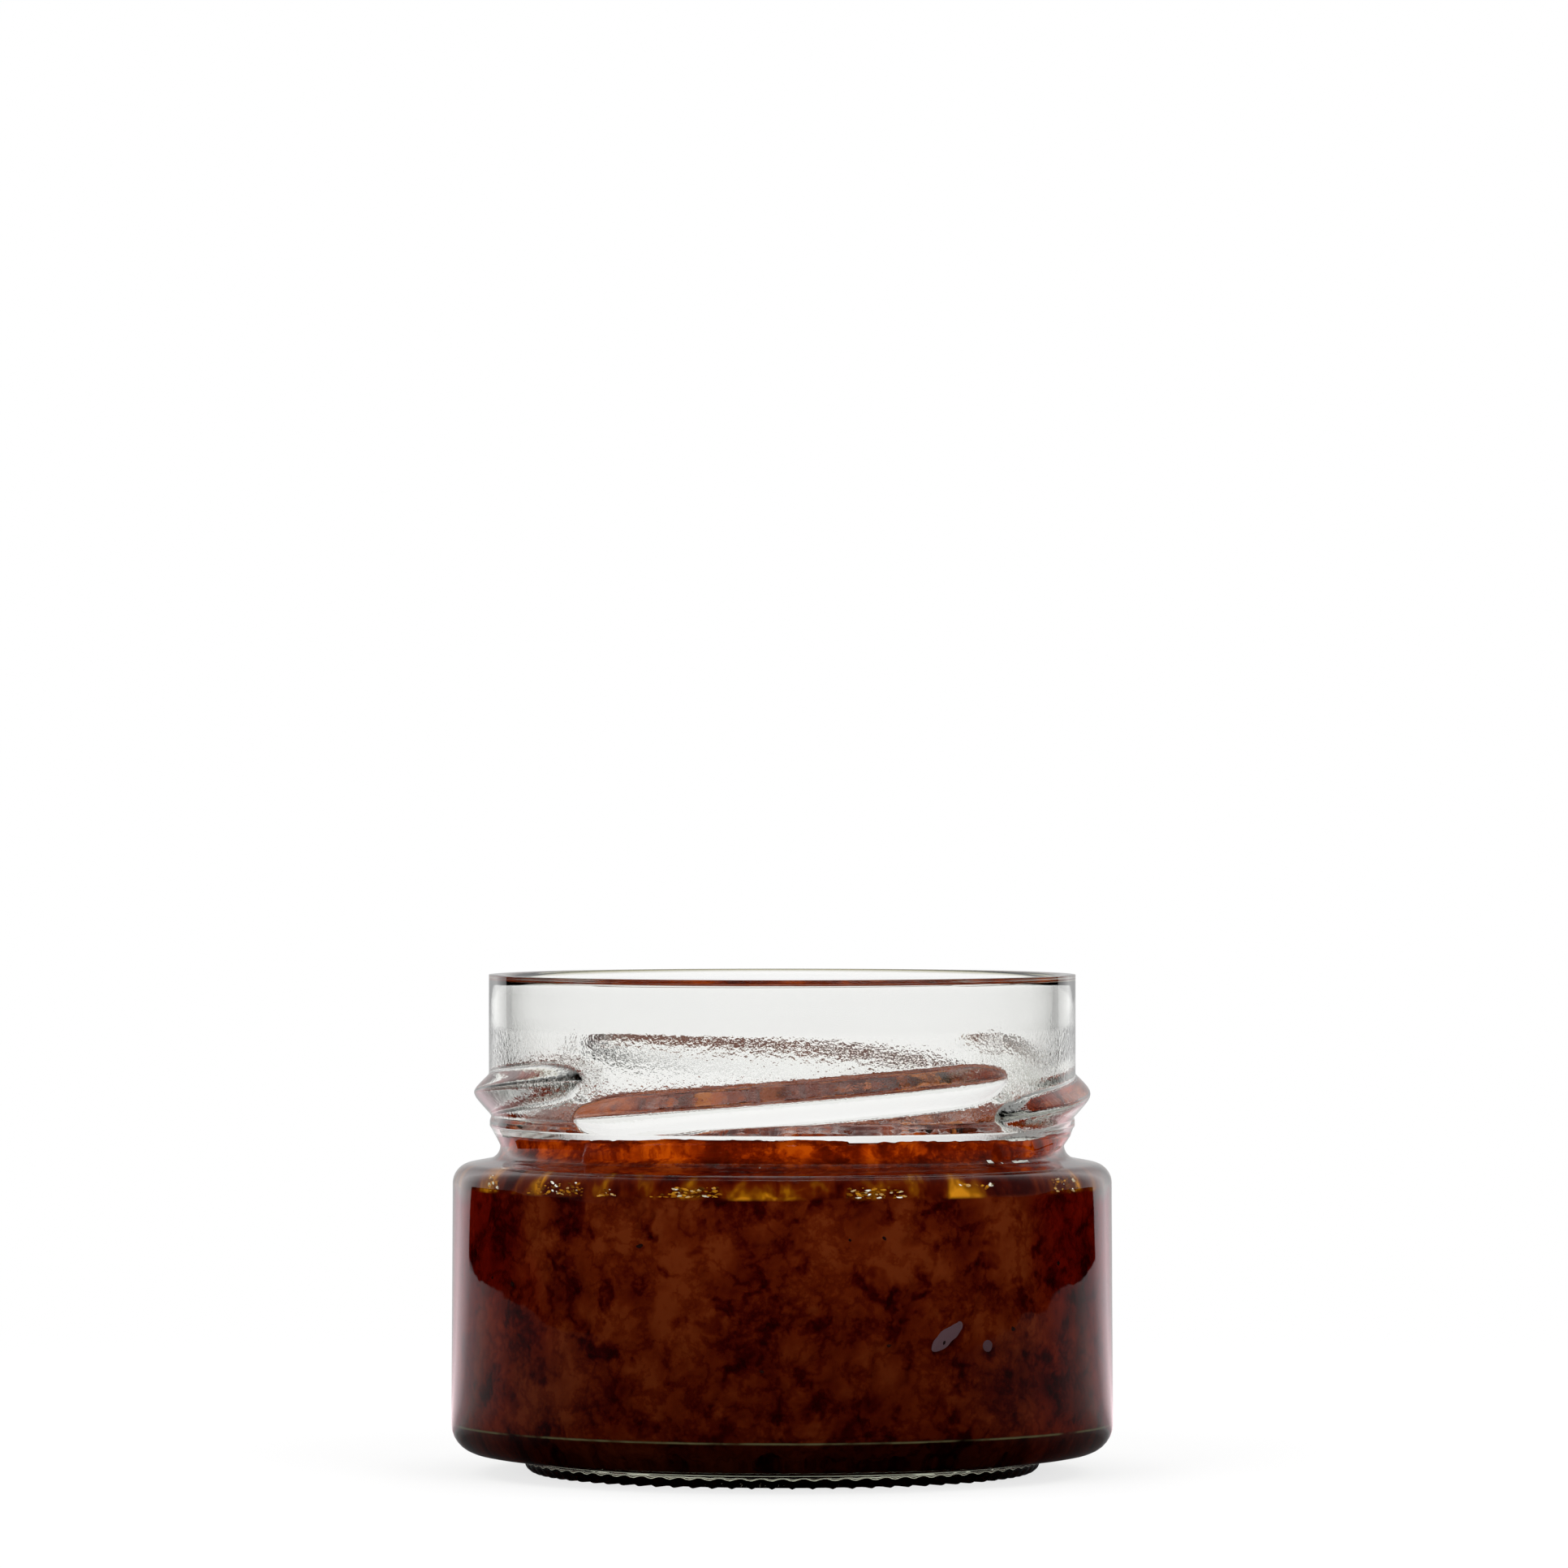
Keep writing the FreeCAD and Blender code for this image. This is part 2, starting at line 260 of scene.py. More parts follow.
class Shaping(Graph):
    """A Geometry Nodes tree with named inputs, and the modifier that runs it."""

    KINDS = {float: "NodeSocketFloat", int: "NodeSocketInt", bpy.types.Material: "NodeSocketMaterial"}

    def __init__(self, name: str, values: dict[str, Union[float, int, bpy.types.Material]]) -> None:
        """Makes the tree with its interface.

        Args:
            name: the tree's name.
            values: the inputs' names and values, in order.
        """
        super().__init__(bpy.data.node_groups.new(name, "GeometryNodeTree"))
        face = self.tree.interface
        face.new_socket("Geometry", in_out="INPUT", socket_type="NodeSocketGeometry")
        face.new_socket("Geometry", in_out="OUTPUT", socket_type="NodeSocketGeometry")
        self.values = values
        self.keys = {}
        for label, value in values.items():
            kind = self.KINDS[next(known for known in self.KINDS if isinstance(value, known))]
            self.keys[label] = face.new_socket(label, in_out="INPUT", socket_type=kind).identifier
        self.source = self.tree.nodes.new("NodeGroupInput")
        self.target = self.tree.nodes.new("NodeGroupOutput")

    def given(self, label: str) -> Socket:
        """The output of one named input."""
        return self.source.outputs[label]

    def named(self, name: str) -> Socket:
        """The number that a point attribute holds."""
        return self.get("GeometryNodeInputNamedAttribute", name, data_type="FLOAT", out="Attribute")

    def random(self, low: Feed, high: Feed, seed: int) -> Socket:
        """A number between low and high, another one for each point."""
        before, between = (None,) * 2, (None,) * 4
        values = (*before, low, high, *between, seed)
        return self.get("FunctionNodeRandomValue", *values, data_type="FLOAT", out=1)

    def store(self, geometry: Feed, name: str, value: Feed) -> Socket:
        """The geometry with a number kept on each point."""
        return self.get(
            "GeometryNodeStoreNamedAttribute", geometry, data_type="FLOAT", domain="POINT",
            named={"Name": name, "Value": value},
        )

    def finish(self, geometry: Feed, where: Feed = None) -> None:
        """Ends the tree: instances made real, the material set, and the result handed out.

        Args:
            geometry: what the tree made.
            where: the faces that take "Top Material" instead, if any do.
        """
        real = self.get("GeometryNodeRealizeInstances", geometry)
        dressed = self.get("GeometryNodeSetMaterial", real, named={"Material": self.given("Material")})
        if where is not None:
            top = {"Selection": where, "Material": self.given("Top Material")}
            dressed = self.get("GeometryNodeSetMaterial", dressed, named=top)
        self.feed(self.target.inputs[0], dressed)

    def run(self, piece: bpy.types.Object) -> None:
        """Runs the tree on a piece and leaves the result as its plain mesh.

        Args:
            piece: the object whose mesh the tree starts from.
        """
        modifier = piece.modifiers.new(self.tree.name, "NODES")
        modifier.node_group = self.tree
        for label, value in self.values.items():
            modifier[self.keys[label]] = value
        bpy.context.view_layer.update()
        graph = bpy.context.evaluated_depsgraph_get()
        mesh = bpy.data.meshes.new_from_object(
            piece.evaluated_get(graph), preserve_all_data_layers=True, depsgraph=graph
        )
        piece.modifiers.clear()
        piece.data = mesh
        mesh.shade_smooth()


# --------------------------------------------------------------------------------------------------
# Turned shapes


@dataclass(frozen=True)
class Corner:
    """One corner of an outline in the plane of the radius and +Z.

    Attributes:
        r: distance from the axis.
        z: height.
        round: radius of the arc that takes its place, or 0 for a sharp corner.
        step: longest spacing of points on the straight run that follows it.
        turn: largest turn from one side of the arc to the next.
    """

    r: float
    z: float
    round: float = 0.0
    step: float = 4.0 * MM
    turn: float = math.radians(13.0)


def corner_arc(corner: Corner, before: Vector, after: Vector) -> list[Vector]:
    """The points that take a corner's place.

    Args:
        corner: the corner.
        before: the corner that comes before it.
        after: the corner that follows it.

    Returns:
        The corner itself if it is sharp, or the points of its arc.
    """
    here = Vector((corner.r, corner.z))
    if corner.round == 0.0:
        return [here]
    back = (before - here).normalized()
    ahead = (after - here).normalized()
    half = back.angle(ahead) / 2.0
    centre = here + (back + ahead).normalized() * (corner.round / math.sin(half))
    start = here + back * (corner.round / math.tan(half)) - centre
    sweep = math.pi - 2.0 * half
    side = math.copysign(1.0, back.y * ahead.x - back.x * ahead.y)
    count = max(2, math.ceil(sweep / corner.turn))
    return [centre + Matrix.Rotation(side * sweep * k / count, 2) @ start for k in range(count + 1)]


def rounded_outline(corners: Sequence[Corner]) -> list[Vector]:
    """The points of an outline whose corners are rounded and whose long runs are divided.

    Args:
        corners: the corners in order, with the first and last sharp.

    Returns:
        Points (r, z) from the first corner to the last.
    """
    places = [Vector((corner.r, corner.z)) for corner in corners]
    around = zip(corners, [places[0], *places[:-1]], [*places[1:], places[-1]])
    arcs = [corner_arc(corner, before, after) for corner, before, after in around]
    points = list(arcs[0])
    for corner, arc in zip(corners, arcs[1:]):
        start = points[-1]
        count = max(1, math.ceil((arc[0] - start).length / corner.step))
        points += [start.lerp(arc[0], k / count) for k in range(1, count)]
        points += arc
    return points


def turned_mesh(name: str, outline: Sequence[Vector], segments: int) -> bpy.types.Mesh:
    """A closed mesh from an outline turned about +Z, with its faces outwards.

    Args:
        name: the mesh's name.
        outline: points (r, z) that start and end on the axis, with the outside on the right of the way.
        segments: sides round the axis.

    Returns:
        The mesh, with its points in the outline's order, ring by ring.
    """
    angles = [2 * math.pi * k / segments for k in range(segments)]
    spokes = [(math.cos(angle), math.sin(angle)) for angle in angles]
    rings = outline[1:-1]
    vertices = [(0.0, 0.0, outline[0].y)]
    vertices += [(point.x * east, point.x * north, point.y) for point in rings for east, north in spokes]
    vertices.append((0.0, 0.0, outline[-1].y))
    last = 1 + (len(rings) - 1) * segments
    pole = len(vertices) - 1
    faces = []
    for k in range(segments):
        after = (k + 1) % segments
        faces.append((0, 1 + after, 1 + k))
        faces.append((last + k, last + after, pole))
        for ring in range(len(rings) - 1):
            base = 1 + ring * segments
            faces.append((base + k, base + after, base + segments + after, base + segments + k))
    mesh = bpy.data.meshes.new(name)
    mesh.from_pydata(vertices, [], faces)
    mesh.shade_smooth()
    return mesh


def mark_rings(mesh: bpy.types.Mesh, name: str, segments: int, marks: Sequence[float]) -> None:
    """Keeps a number on each point of a turned mesh, the same one all round a ring.

    Args:
        mesh: the mesh.
        name: the attribute's name.
        segments: sides round the axis.
        marks: a number for each point of the outline.
    """
    rings = [mark for mark in marks[1:-1] for _ in range(segments)]
    layer = mesh.attributes.new(name, "FLOAT", "POINT")
    layer.data.foreach_set("value", [marks[0], *rings, marks[-1]])


def place_piece(name: str, mesh: bpy.types.Mesh) -> bpy.types.Object:
    """An object at the origin that shows a mesh."""
    piece = bpy.data.objects.new(name, mesh)
    bpy.context.scene.collection.objects.link(piece)
    return piece


# --------------------------------------------------------------------------------------------------
# Finishes


@dataclass(frozen=True)
class GlassFinish:
    """Clear soda glass with a faint green in its depth and an uneven skin round the lugs.

    Attributes:
        ior: index of refraction.
        tint: colour that long ways through the glass take on.
        depth: how strongly they take it, per metre.
        peel_size: width of the dimples in the skin.
        peel_depth: depth of those dimples.
        swell_size: width of the slow unevenness everywhere.
        swell: how much of the dimples' depth it has.
    """

    name: str = "clear_glass"
    ior: float = 1.5
    tint: Colour = (0.58, 0.64, 0.32)
    depth: float = 12.0
    peel_size: float = 0.55 * MM
    peel_depth: float = 0.16 * MM
    swell_size: float = 9.0 * MM
    swell: float = 0.25

    def material(self) -> bpy.types.Material:
        """The finished material."""
        material, graph = new_material(self.name)
        place = graph.get("ShaderNodeTexCoord", out="Object")
        peel = graph.get("ShaderNodeAttribute", attribute_name="peel", out="Fac")
        dimples = graph.times(graph.noise(place, self.peel_size, 2.0, 0.6), peel)
        swell = graph.noise(place, self.swell_size, 1.0, 0.4)
        height = graph.math("MULTIPLY_ADD", swell, self.swell, dimples)
        bump = graph.get("ShaderNodeBump", named={
            "Strength": 1.0, "Distance": self.peel_depth, "Height": height,
        })
        glass = graph.get("ShaderNodeBsdfPrincipled", named={
            "Base Color": opaque(WHITE), "Roughness": 0.0, "IOR": self.ior,
            "Transmission Weight": 1.0, "Normal": bump,
        })
        clear = graph.get("ShaderNodeBsdfTransparent")
        path = graph.add("ShaderNodeLightPath")
        lit = graph.math("MAXIMUM", path.outputs["Is Shadow Ray"], path.outputs["Is Diffuse Ray"])
        surface = graph.get("ShaderNodeMixShader", lit, glass, clear)
        inside = graph.get("ShaderNodeVolumeAbsorption", opaque(self.tint), self.depth)
        graph.add("ShaderNodeOutputMaterial", surface, inside)
        return material


class Zone(Enum):
    """The parts of the sauce that look different, each with its colours from gaps to the palest lumps."""

    BODY = (
        (0.38, (0.0075, 0.0002, 0.0002)), (0.47, (0.0185, 0.0006, 0.0003)),
        (0.52, (0.0306, 0.0021, 0.0005)), (0.571, (0.0414, 0.0039, 0.0006)),
        (0.62, (0.0525, 0.0060, 0.0009)), (0.69, (0.0720, 0.0115, 0.0024)),
    )
    # Partly the oil's own orange, partly painted light that falls in from above.
    NECK = (
        (0.40, (0.062, 0.0041, 0.0002)), (0.49, (0.094, 0.0062, 0.0003)),
        (0.54, (0.132, 0.0092, 0.0003)), (0.578, (0.188, 0.0160, 0.0004)),
        (0.62, (0.275, 0.0270, 0.0006)), (0.68, (0.440, 0.0600, 0.0012)),
    )
    # Gold, partly oil and partly painted light that comes in through the shoulder.
    EDGE = (
        (0.36, (0.019, 0.0007, 0.0003)), (0.45, (0.042, 0.0030, 0.0004)),
        (0.52, (0.072, 0.0085, 0.0006)), (0.58, (0.120, 0.0290, 0.0010)),
        (0.63, (0.220, 0.0750, 0.0016)), (0.69, (0.520, 0.2000, 0.0080)),
    )


@dataclass(frozen=True)
class SauceFinish:
    """Chopped dark red sauce, with a gold edge under the shoulder and orange in the neck, both partly oil
    and partly painted light from above.

    Attributes:
        top_level: mean height of its top.
        neck_level: height above which the sauce is bright with oil and with painted light from above.
        edge_level: height of the oily edge under the shoulder, gold partly from oil and partly from painted
            light through the shoulder.
        floor_level: height of the jar's inner floor.
        wet: whether it is the open top, which shines, and not the side that the glass wets.
        body_painted_light: brightness of the body at the floor and under the oily edge, painted light that
            makes it lighter towards the top.
        flanks: how far round from the front the flanks with a painted reflection tint start and end, in
            radians.
        flank_edge: width of their soft edges, in radians.
        flank_rise: heights between which their colour changes.
        flank_reflection_low: painted reflection, what the body's colour is multiplied by low on the flanks.
        flank_reflection_high: painted reflection, what it is multiplied by high on them.
        hem_highlight_colour: the thin pale line round the bottom, a painted highlight.
        open_top_sheen: what the open top's colour is multiplied by, a painted sheen that makes it paler.
        dullness: least and most roughness.
    """

    top_level: float
    neck_level: float
    edge_level: float
    floor_level: float
    wet: bool = False
    body_painted_light: Span = (0.84, 1.34)
    flanks: Span = (1.16, 1.80)
    flank_edge: float = 0.12
    flank_rise: Span = (17.0 * MM, 23.0 * MM)
    flank_reflection_low: Colour = (1.25, 0.78, 0.82)
    flank_reflection_high: Colour = (0.98, 0.24, 0.35)
    hem_highlight_colour: Colour = (0.075, 0.068, 0.032)
    open_top_sheen: Colour = (1.0, 1.40, 1.10)
    dullness: Span = (0.12, 0.36)

    def tone(self, graph: Graph, place: Feed) -> Socket:
        """How pale the sauce is at a place: 0 in the gaps, 1 on the palest lumps.

        Args:
            graph: the tree to build in.
            place: the coordinates.

        Returns:
            The output that holds the tone.
        """
        lump = graph.get("ShaderNodeAttribute", attribute_name="lump", out="Fac")
        cloud = graph.noise(place, 7.0 * MM, 6.0, 0.64, 0.12)
        aside = graph.vector("ADD", place, (0.11, 0.07, 0.03))
        crease = graph.noise(aside, 4.4 * MM, 5.0, 0.66, 0.15)
        crease = graph.fade(graph.math("ABSOLUTE", graph.minus(crease, 0.5)), 0.0, 0.07)
        aside = graph.vector("ADD", place, (0.05, 0.19, 0.13))
        spots = graph.noise(aside, 4.2 * MM, 3.0, 0.55, 0.3)
        spots = graph.fade(spots, 0.36, 0.46)
        tone = graph.math("MULTIPLY_ADD", lump, 0.25, graph.times(cloud, 0.55))
        tone = graph.math("MULTIPLY_ADD", crease, 0.08, tone)
        return graph.math("MULTIPLY_ADD", spots, 0.12, tone)

    def body(self, graph: Graph, place: Feed, tone: Feed) -> Socket:
        """The colour against the straight wall, with painted light that makes it lighter towards the top,
        and a painted reflection tint that makes it redder and pinker on the flanks.

        Args:
            graph: the tree to build in.
            place: the coordinates.
            tone: how pale the sauce is there.

        Returns:
            The output that holds the colour.
        """
        east, north, height = graph.add("ShaderNodeSeparateXYZ", place).outputs
        # Painted light: the body is lighter towards the top, where more light comes in from above.
        light = graph.fade(height, self.floor_level, self.edge_level, *self.body_painted_light)
        body = graph.tint(graph.ramp(tone, Zone.BODY.value), light)
        # Painted reflection: the flanks, counted round from the side that faces the camera, take the redder
        # and pinker tint that the room's reflections give them.
        facing = graph.math("ABSOLUTE", graph.math("ARCTAN2", east, graph.times(north, -1.0)))
        stray = graph.math("MULTIPLY_ADD", graph.noise(place, 12.0 * MM, 2.0), 0.5, facing)
        where = graph.band(stray, *self.flanks, self.flank_edge)
        shade = graph.blend(graph.fade(height, *self.flank_rise), self.flank_reflection_low, self.flank_reflection_high)
        return graph.blend(where, body, shade, "MULTIPLY")

    def neck(self, graph: Graph, place: Feed, height: Feed, tone: Feed) -> Socket:
        """The bright colour in the neck, partly oil and partly painted light from above, with painted shade
        at its lower end and just under the open top.

        Args:
            graph: the tree to build in.
            place: the coordinates.
            height: the height there.
            tone: how pale the sauce is there.

        Returns:
            The output that holds the colour.
        """
        fine = graph.noise(place, 2.2 * MM, 4.0, 0.7, 0.4)
        tone = graph.math("MULTIPLY_ADD", graph.minus(fine, 0.5), 0.22, tone)
        low = self.neck_level
        # Painted shade at the neck's lower end, under the shoulder.
        foot = graph.fade(height, low + 0.6 * MM, low + 2.6 * MM, 0.40, 1.0)
        high = self.top_level
        # Painted shade just under the open top.
        lip_painted_shade = graph.fade(height, high - 1.3 * MM, high - 0.3 * MM, 1.0, 0.62)
        return graph.tint(graph.tint(graph.ramp(tone, Zone.NECK.value), foot), lip_painted_shade)

    def hem(self, graph: Graph, place: Feed, height: Feed, colour: Feed) -> Socket:
        """A colour with painted shade next to the floor, and a painted highlight just above it: a thin
        broken line of light.

        Args:
            graph: the tree to build in.
            place: the coordinates.
            height: the height there.
            colour: the colour without the hem.

        Returns:
            The output that holds the colour.
        """
        low = self.floor_level
        # Painted shade next to the floor.
        colour = graph.tint(colour, graph.fade(height, low + 0.4 * MM, low + 0.7 * MM, 0.40, 1.0))
        # Painted highlight: a thin broken line of light just above the floor.
        line = graph.band(height, low + 0.35 * MM, low + 0.55 * MM, 0.08 * MM)
        line = graph.times(line, graph.fade(graph.noise(place, 5.0 * MM, 3.0), 0.30, 0.55))
        return graph.blend(line, colour, self.hem_highlight_colour)

    def material(self) -> bpy.types.Material:
        """The finished material."""
        material, graph = new_material("sauce_top" if self.wet else "sauce_side")
        place = graph.get("ShaderNodeTexCoord", out="Object")
        height = graph.get("ShaderNodeSeparateXYZ", place, out="Z")
        tone = self.tone(graph, place)
        # Painted light: the oily edge under the shoulder is gold where light comes in through the shoulder.
        gold = graph.ramp(graph.noise(place, 4.2 * MM, 3.0, 0.58, 0.3), Zone.EDGE.value)
        at_edge = graph.band(height, self.edge_level, self.neck_level - 1.1 * MM, 0.25 * MM)
        at_neck = graph.fade(height, self.neck_level - 0.2 * MM, self.neck_level + 1.2 * MM)
        colour = graph.blend(at_edge, self.body(graph, place, tone), gold)
        colour = graph.blend(at_neck, colour, self.neck(graph, place, height, tone))
        colour = self.hem(graph, place, height, colour)
        if self.wet:
            # Painted sheen: the open top paler than the side.
            colour = graph.tint(colour, self.open_top_sheen)
        grain = graph.noise(place, 1.4 * MM, 4.0, 0.6)
        bump = graph.get("ShaderNodeBump", named={
            "Strength": 0.5, "Distance": 0.3 * MM, "Height": grain,
        })
        surface = graph.get("ShaderNodeBsdfPrincipled", named={
            "Base Color": colour, "Roughness": graph.fade(grain, 0.3, 0.7, *self.dullness),
            "Specular IOR Level": 0.5 if self.wet else 0.0, "Normal": bump,
        })
        graph.add("ShaderNodeOutputMaterial", surface)
        return material


# --------------------------------------------------------------------------------------------------
# The jar


@dataclass
class JarGlass:
    """The clear glass: ring foot, straight body, rounded shoulder, waist, bead, four lugs and open rim.

    Attributes:
        height: standing plane to the top of the rim.
        radius: the body at its widest, by the heel.
        segments: sides round the axis, a whole number for each rib under the foot.
        rib_step: spacing of points where the foot's ribs are pressed in.
        lug_step: spacing of points where the lugs are pressed in.
        wall_step: spacing of points up the inner wall.
        fine_turn: largest turn between points on the shoulder.
        coarse_turn: largest turn between points on the inner heel.
        neck_flare: how far the inside leans out at the mouth and at the throat, and in at the shoulder, as
            shares of neck_taper.
        inner_peel: how strongly the skin inside the neck is dimpled.
    """

    height: float
    radius: float
    segments: int = 546
    body_draft: float = 0.17 * MM
    body_wall: float = 2.6 * MM
    shoulder_width: float = 5.35 * MM
    shoulder_drop: float = 20.5 * MM
    shoulder_fall: float = 1.0 * MM
    shoulder_round: float = 2.3 * MM
    waist_inset: float = 1.3 * MM
    waist_fillet: float = 1.6 * MM
    waist_round: float = 0.4 * MM
    bead_drop: float = 16.72 * MM
    bead_inset: float = 0.1 * MM
    bead_half: float = 0.37 * MM
    bead_under: float = 1.2 * MM
    bead_over: float = 0.8 * MM
    bead_round: float = 0.45 * MM
    bead_under_round: float = 0.35 * MM
    groove_inset: float = 0.25 * MM
    groove_round: float = 0.5 * MM
    groove_drop: float = 8.4 * MM
    groove_fade: float = 0.5 * MM
    neck_wall: float = 2.8 * MM
    rim_round: float = 0.85 * MM
    mouth_round: float = 1.15 * MM
    heel_height: float = 2.5 * MM
    heel_round: float = 3.2 * MM
    foot_height: float = 1.8 * MM
    foot_inset: float = 8.2 * MM
    foot_round: float = 1.4 * MM
    foot_fillet: float = 0.35 * MM
    bearing_width: float = 3.6 * MM
    punt_height: float = 1.6 * MM
    floor_height: float = 5.1 * MM
    floor_rise: float = 0.7 * MM
    inner_heel_round: float = 2.6 * MM
    inner_shoulder_drop: float = 19.6 * MM
    inner_shoulder_fall: float = 3.4 * MM
    inner_neck_round: float = 3.0 * MM
    inner_shoulder_round: float = 2.2 * MM
    lug_count: int = 4
    lug_drop: float = 13.2 * MM
    lug_rise: float = 4.4 * MM
    lug_span: float = math.radians(93.0)
    lug_middle: float = math.radians(-87.6)
    lug_height: float = 1.67 * MM
    lug_slope: float = 1.1
    lug_underslope: float = 0.95
    lug_crest: float = 0.55 * MM
    lug_taper: float = math.radians(14.0)
    lug_fillet: float = 0.3 * MM
    knurl_count: int = 78
    knurl_depth: float = 0.7 * MM
    wave_size: float = 14.0 * MM
    wave_depth: float = 0.05 * MM
    neck_taper: float = 1.3 * MM
    neck_flare: tuple[float, float, float] = (0.30, 0.20, -0.80)
    throat_drop: float = 6.0 * MM
    throat_round: float = 9.0 * MM
    inner_peel: float = 0.17
    rib_step: float = 0.5 * MM
    lug_step: float = 0.26 * MM
    wall_step: float = 6.0 * MM
    fine_turn: float = math.radians(6.0)
    coarse_turn: float = math.radians(18.0)

    @property
    def shoulder_radius(self) -> float:
        """The body's outside where the shoulder starts."""
        return self.radius - self.body_draft

    @property
    def waist_radius(self) -> float:
        """The narrow outside between shoulder and bead."""
        return self.shoulder_radius - self.shoulder_width

    @property
    def neck_radius(self) -> float:
        """The smooth outside of the neck's upper part."""
        return self.waist_radius + self.waist_inset

    @property
    def foot_radius(self) -> float:
        """The outside of the ring foot."""
        return self.radius - self.foot_inset

    @property
    def inner_radius(self) -> float:
        """The inside of the body."""
        return self.shoulder_radius - self.body_wall

    @property
    def inner_shoulder(self) -> float:
        """Height at which the inside starts to widen, downwards."""
        return self.height - self.inner_shoulder_drop

    @property
    def ring_level(self) -> float:
        """Height at which the inside has widened to the body."""
        return self.inner_shoulder - self.inner_shoulder_fall

    def outside(self) -> list[Corner]:
        """Corners from the middle of the underside round to the rim."""
        bead = self.height - self.bead_drop
        crest = self.neck_radius - self.bead_inset
        groove = self.neck_radius - self.groove_inset
        shoulder = self.height - self.shoulder_drop
        groove_top = self.height - self.groove_drop
        return [
            Corner(0.0, self.punt_height, step=5.0 * MM),
            Corner(self.foot_radius - self.bearing_width, 0.0, step=self.rib_step),
            Corner(self.foot_radius, 0.0, self.foot_round),
            Corner(self.foot_radius, self.foot_height, self.foot_fillet, 2.0 * MM),
            Corner(self.radius, self.heel_height, self.heel_round, 3.0 * MM),
            Corner(self.shoulder_radius, shoulder - self.shoulder_fall, self.shoulder_round, 2.0 * MM,
                   self.fine_turn),
            Corner(self.waist_radius, shoulder, self.waist_fillet),
            Corner(self.waist_radius, bead - self.bead_under, self.waist_round),
            Corner(crest, bead - self.bead_half, self.bead_under_round),
            Corner(crest, bead + self.bead_half, self.bead_round, self.lug_step),
            Corner(groove, bead + self.bead_over, self.groove_round, self.lug_step),
            Corner(groove, groove_top, step=2.5 * MM),
            Corner(self.neck_radius, groove_top + self.groove_fade, step=2.5 * MM),
            Corner(self.neck_radius, self.height, self.rim_round),
        ]

    def inside(self, proud: float = 0.0) -> list[Corner]:
        """Corners from the mouth down to the middle of the floor.

        Args:
            proud: how far into the wall the outline lies.

        Returns:
            The corners, from the top down.
        """
        neck = self.neck_radius - self.neck_wall + proud
        body = self.inner_radius + proud
        mouth, throat, base = (neck + share * self.neck_taper for share in self.neck_flare)
        return [
            Corner(mouth, self.height, self.mouth_round, 3.0 * MM),
            Corner(throat, self.height - self.throat_drop, self.throat_round, 3.0 * MM),
            Corner(base, self.inner_shoulder, self.inner_neck_round, 3.0 * MM),
            Corner(body, self.ring_level, self.inner_shoulder_round, self.wall_step),
            Corner(body, self.floor_height - proud, self.inner_heel_round, self.wall_step,
                   self.coarse_turn),
            Corner(0.0, self.floor_height + self.floor_rise - proud),
        ]

    def lug_relief(self, tree: Shaping, nearest: Feed, level: Feed) -> Socket:
        """How far the nearest lugs stand out from the neck's outside, and below 0 away from them.

        Args:
            tree: the tree to build in.
            nearest: the place's angle from the middle of the nearest lug.
            level: its height above the middle of the lugs.

        Returns:
            The output that holds the distance.
        """
        pitch = tree.math("DIVIDE", 2.0 * math.pi, tree.given("Lug Count"))
        taper = tree.math("DIVIDE", tree.given("Lug Taper"), tree.given("Lug Span"))
        crest = tree.given("Lug Crest")
        sink = 0.5 * MM
        ridge = 0.3 * MM
        relief = None
        for neighbour in (-1.0, 0.0, 1.0):
            local = tree.math("MULTIPLY_ADD", pitch, neighbour, nearest)
            along = tree.math("DIVIDE", local, tree.given("Lug Span"))
            middle = tree.times(along, tree.given("Lug Rise"))
            to_tip = tree.minus(0.5, tree.math("ABSOLUTE", along))
            short = tree.get("ShaderNodeMapRange", to_tip, 0.0, taper, 1.0, 0.0)
            left = tree.math("MULTIPLY_ADD", tree.times(short, short), -1.0, 1.0)
            share = tree.math("SQRT", left)
            away = tree.minus(level, middle)
            squares = tree.math("MULTIPLY_ADD", away, away, tree.times(crest, crest))
            fall = tree.minus(tree.math("SQRT", squares), crest)
            rise = tree.math("MULTIPLY_ADD", share, tree.plus(tree.given("Lug Height"), sink), -sink)
            slope = tree.fade(away, -ridge, ridge, tree.given("Lug Underslope"), tree.given("Lug Slope"))
            stands = tree.minus(rise, tree.times(fall, slope))
            relief = stands if relief is None else tree.math("MAXIMUM", relief, stands)
        return relief

    def lug_line(self, tree: Shaping, nearest: Feed) -> Socket:
        """Height of the line along the lugs, which drops from each high end to the next low end.

        Args:
            tree: the tree to build in.
            nearest: the place's angle from the middle of the nearest lug.

        Returns:
            The output that holds the height, above the middle of the lugs.
        """
        along = tree.math("DIVIDE", nearest, tree.given("Lug Span"))
        tip, end = 0.42, 0.484
        drop = tree.fade(tree.math("ABSOLUTE", along), tip, end, 1.0, 0.0)
        return tree.times(along, tree.given("Lug Rise"), drop)

    def foot_ribs(self, tree: Shaping, angle: Feed, radius: Feed, up: Feed) -> Socket:
        """How far the ribs under the foot lift its underside between them.

        Args:
            tree: the tree to build in.
            angle: direction of the place, counter-clockwise from +X.
            radius: its distance from the axis.
            up: its height.

        Returns:
            The output that holds the lift.
        """
        begin = tree.given("Knurl Start")
        finish = tree.given("Knurl End")
        turn = tree.math("COSINE", tree.times(angle, tree.given("Knurl Count")))
        rib = tree.math("MULTIPLY_ADD", turn, -0.5, 0.5)
        start = tree.fade(radius, begin, tree.plus(begin, 0.6 * MM))
        end = tree.fade(radius, tree.minus(finish, 0.5 * MM), tree.plus(finish, 0.3 * MM), 1.0, 0.0)
        low = tree.fade(up, 0.5 * MM, 1.3 * MM, 1.0, 0.0)
        return tree.times(rib, tree.given("Knurl Depth"), tree.times(start, end, low))

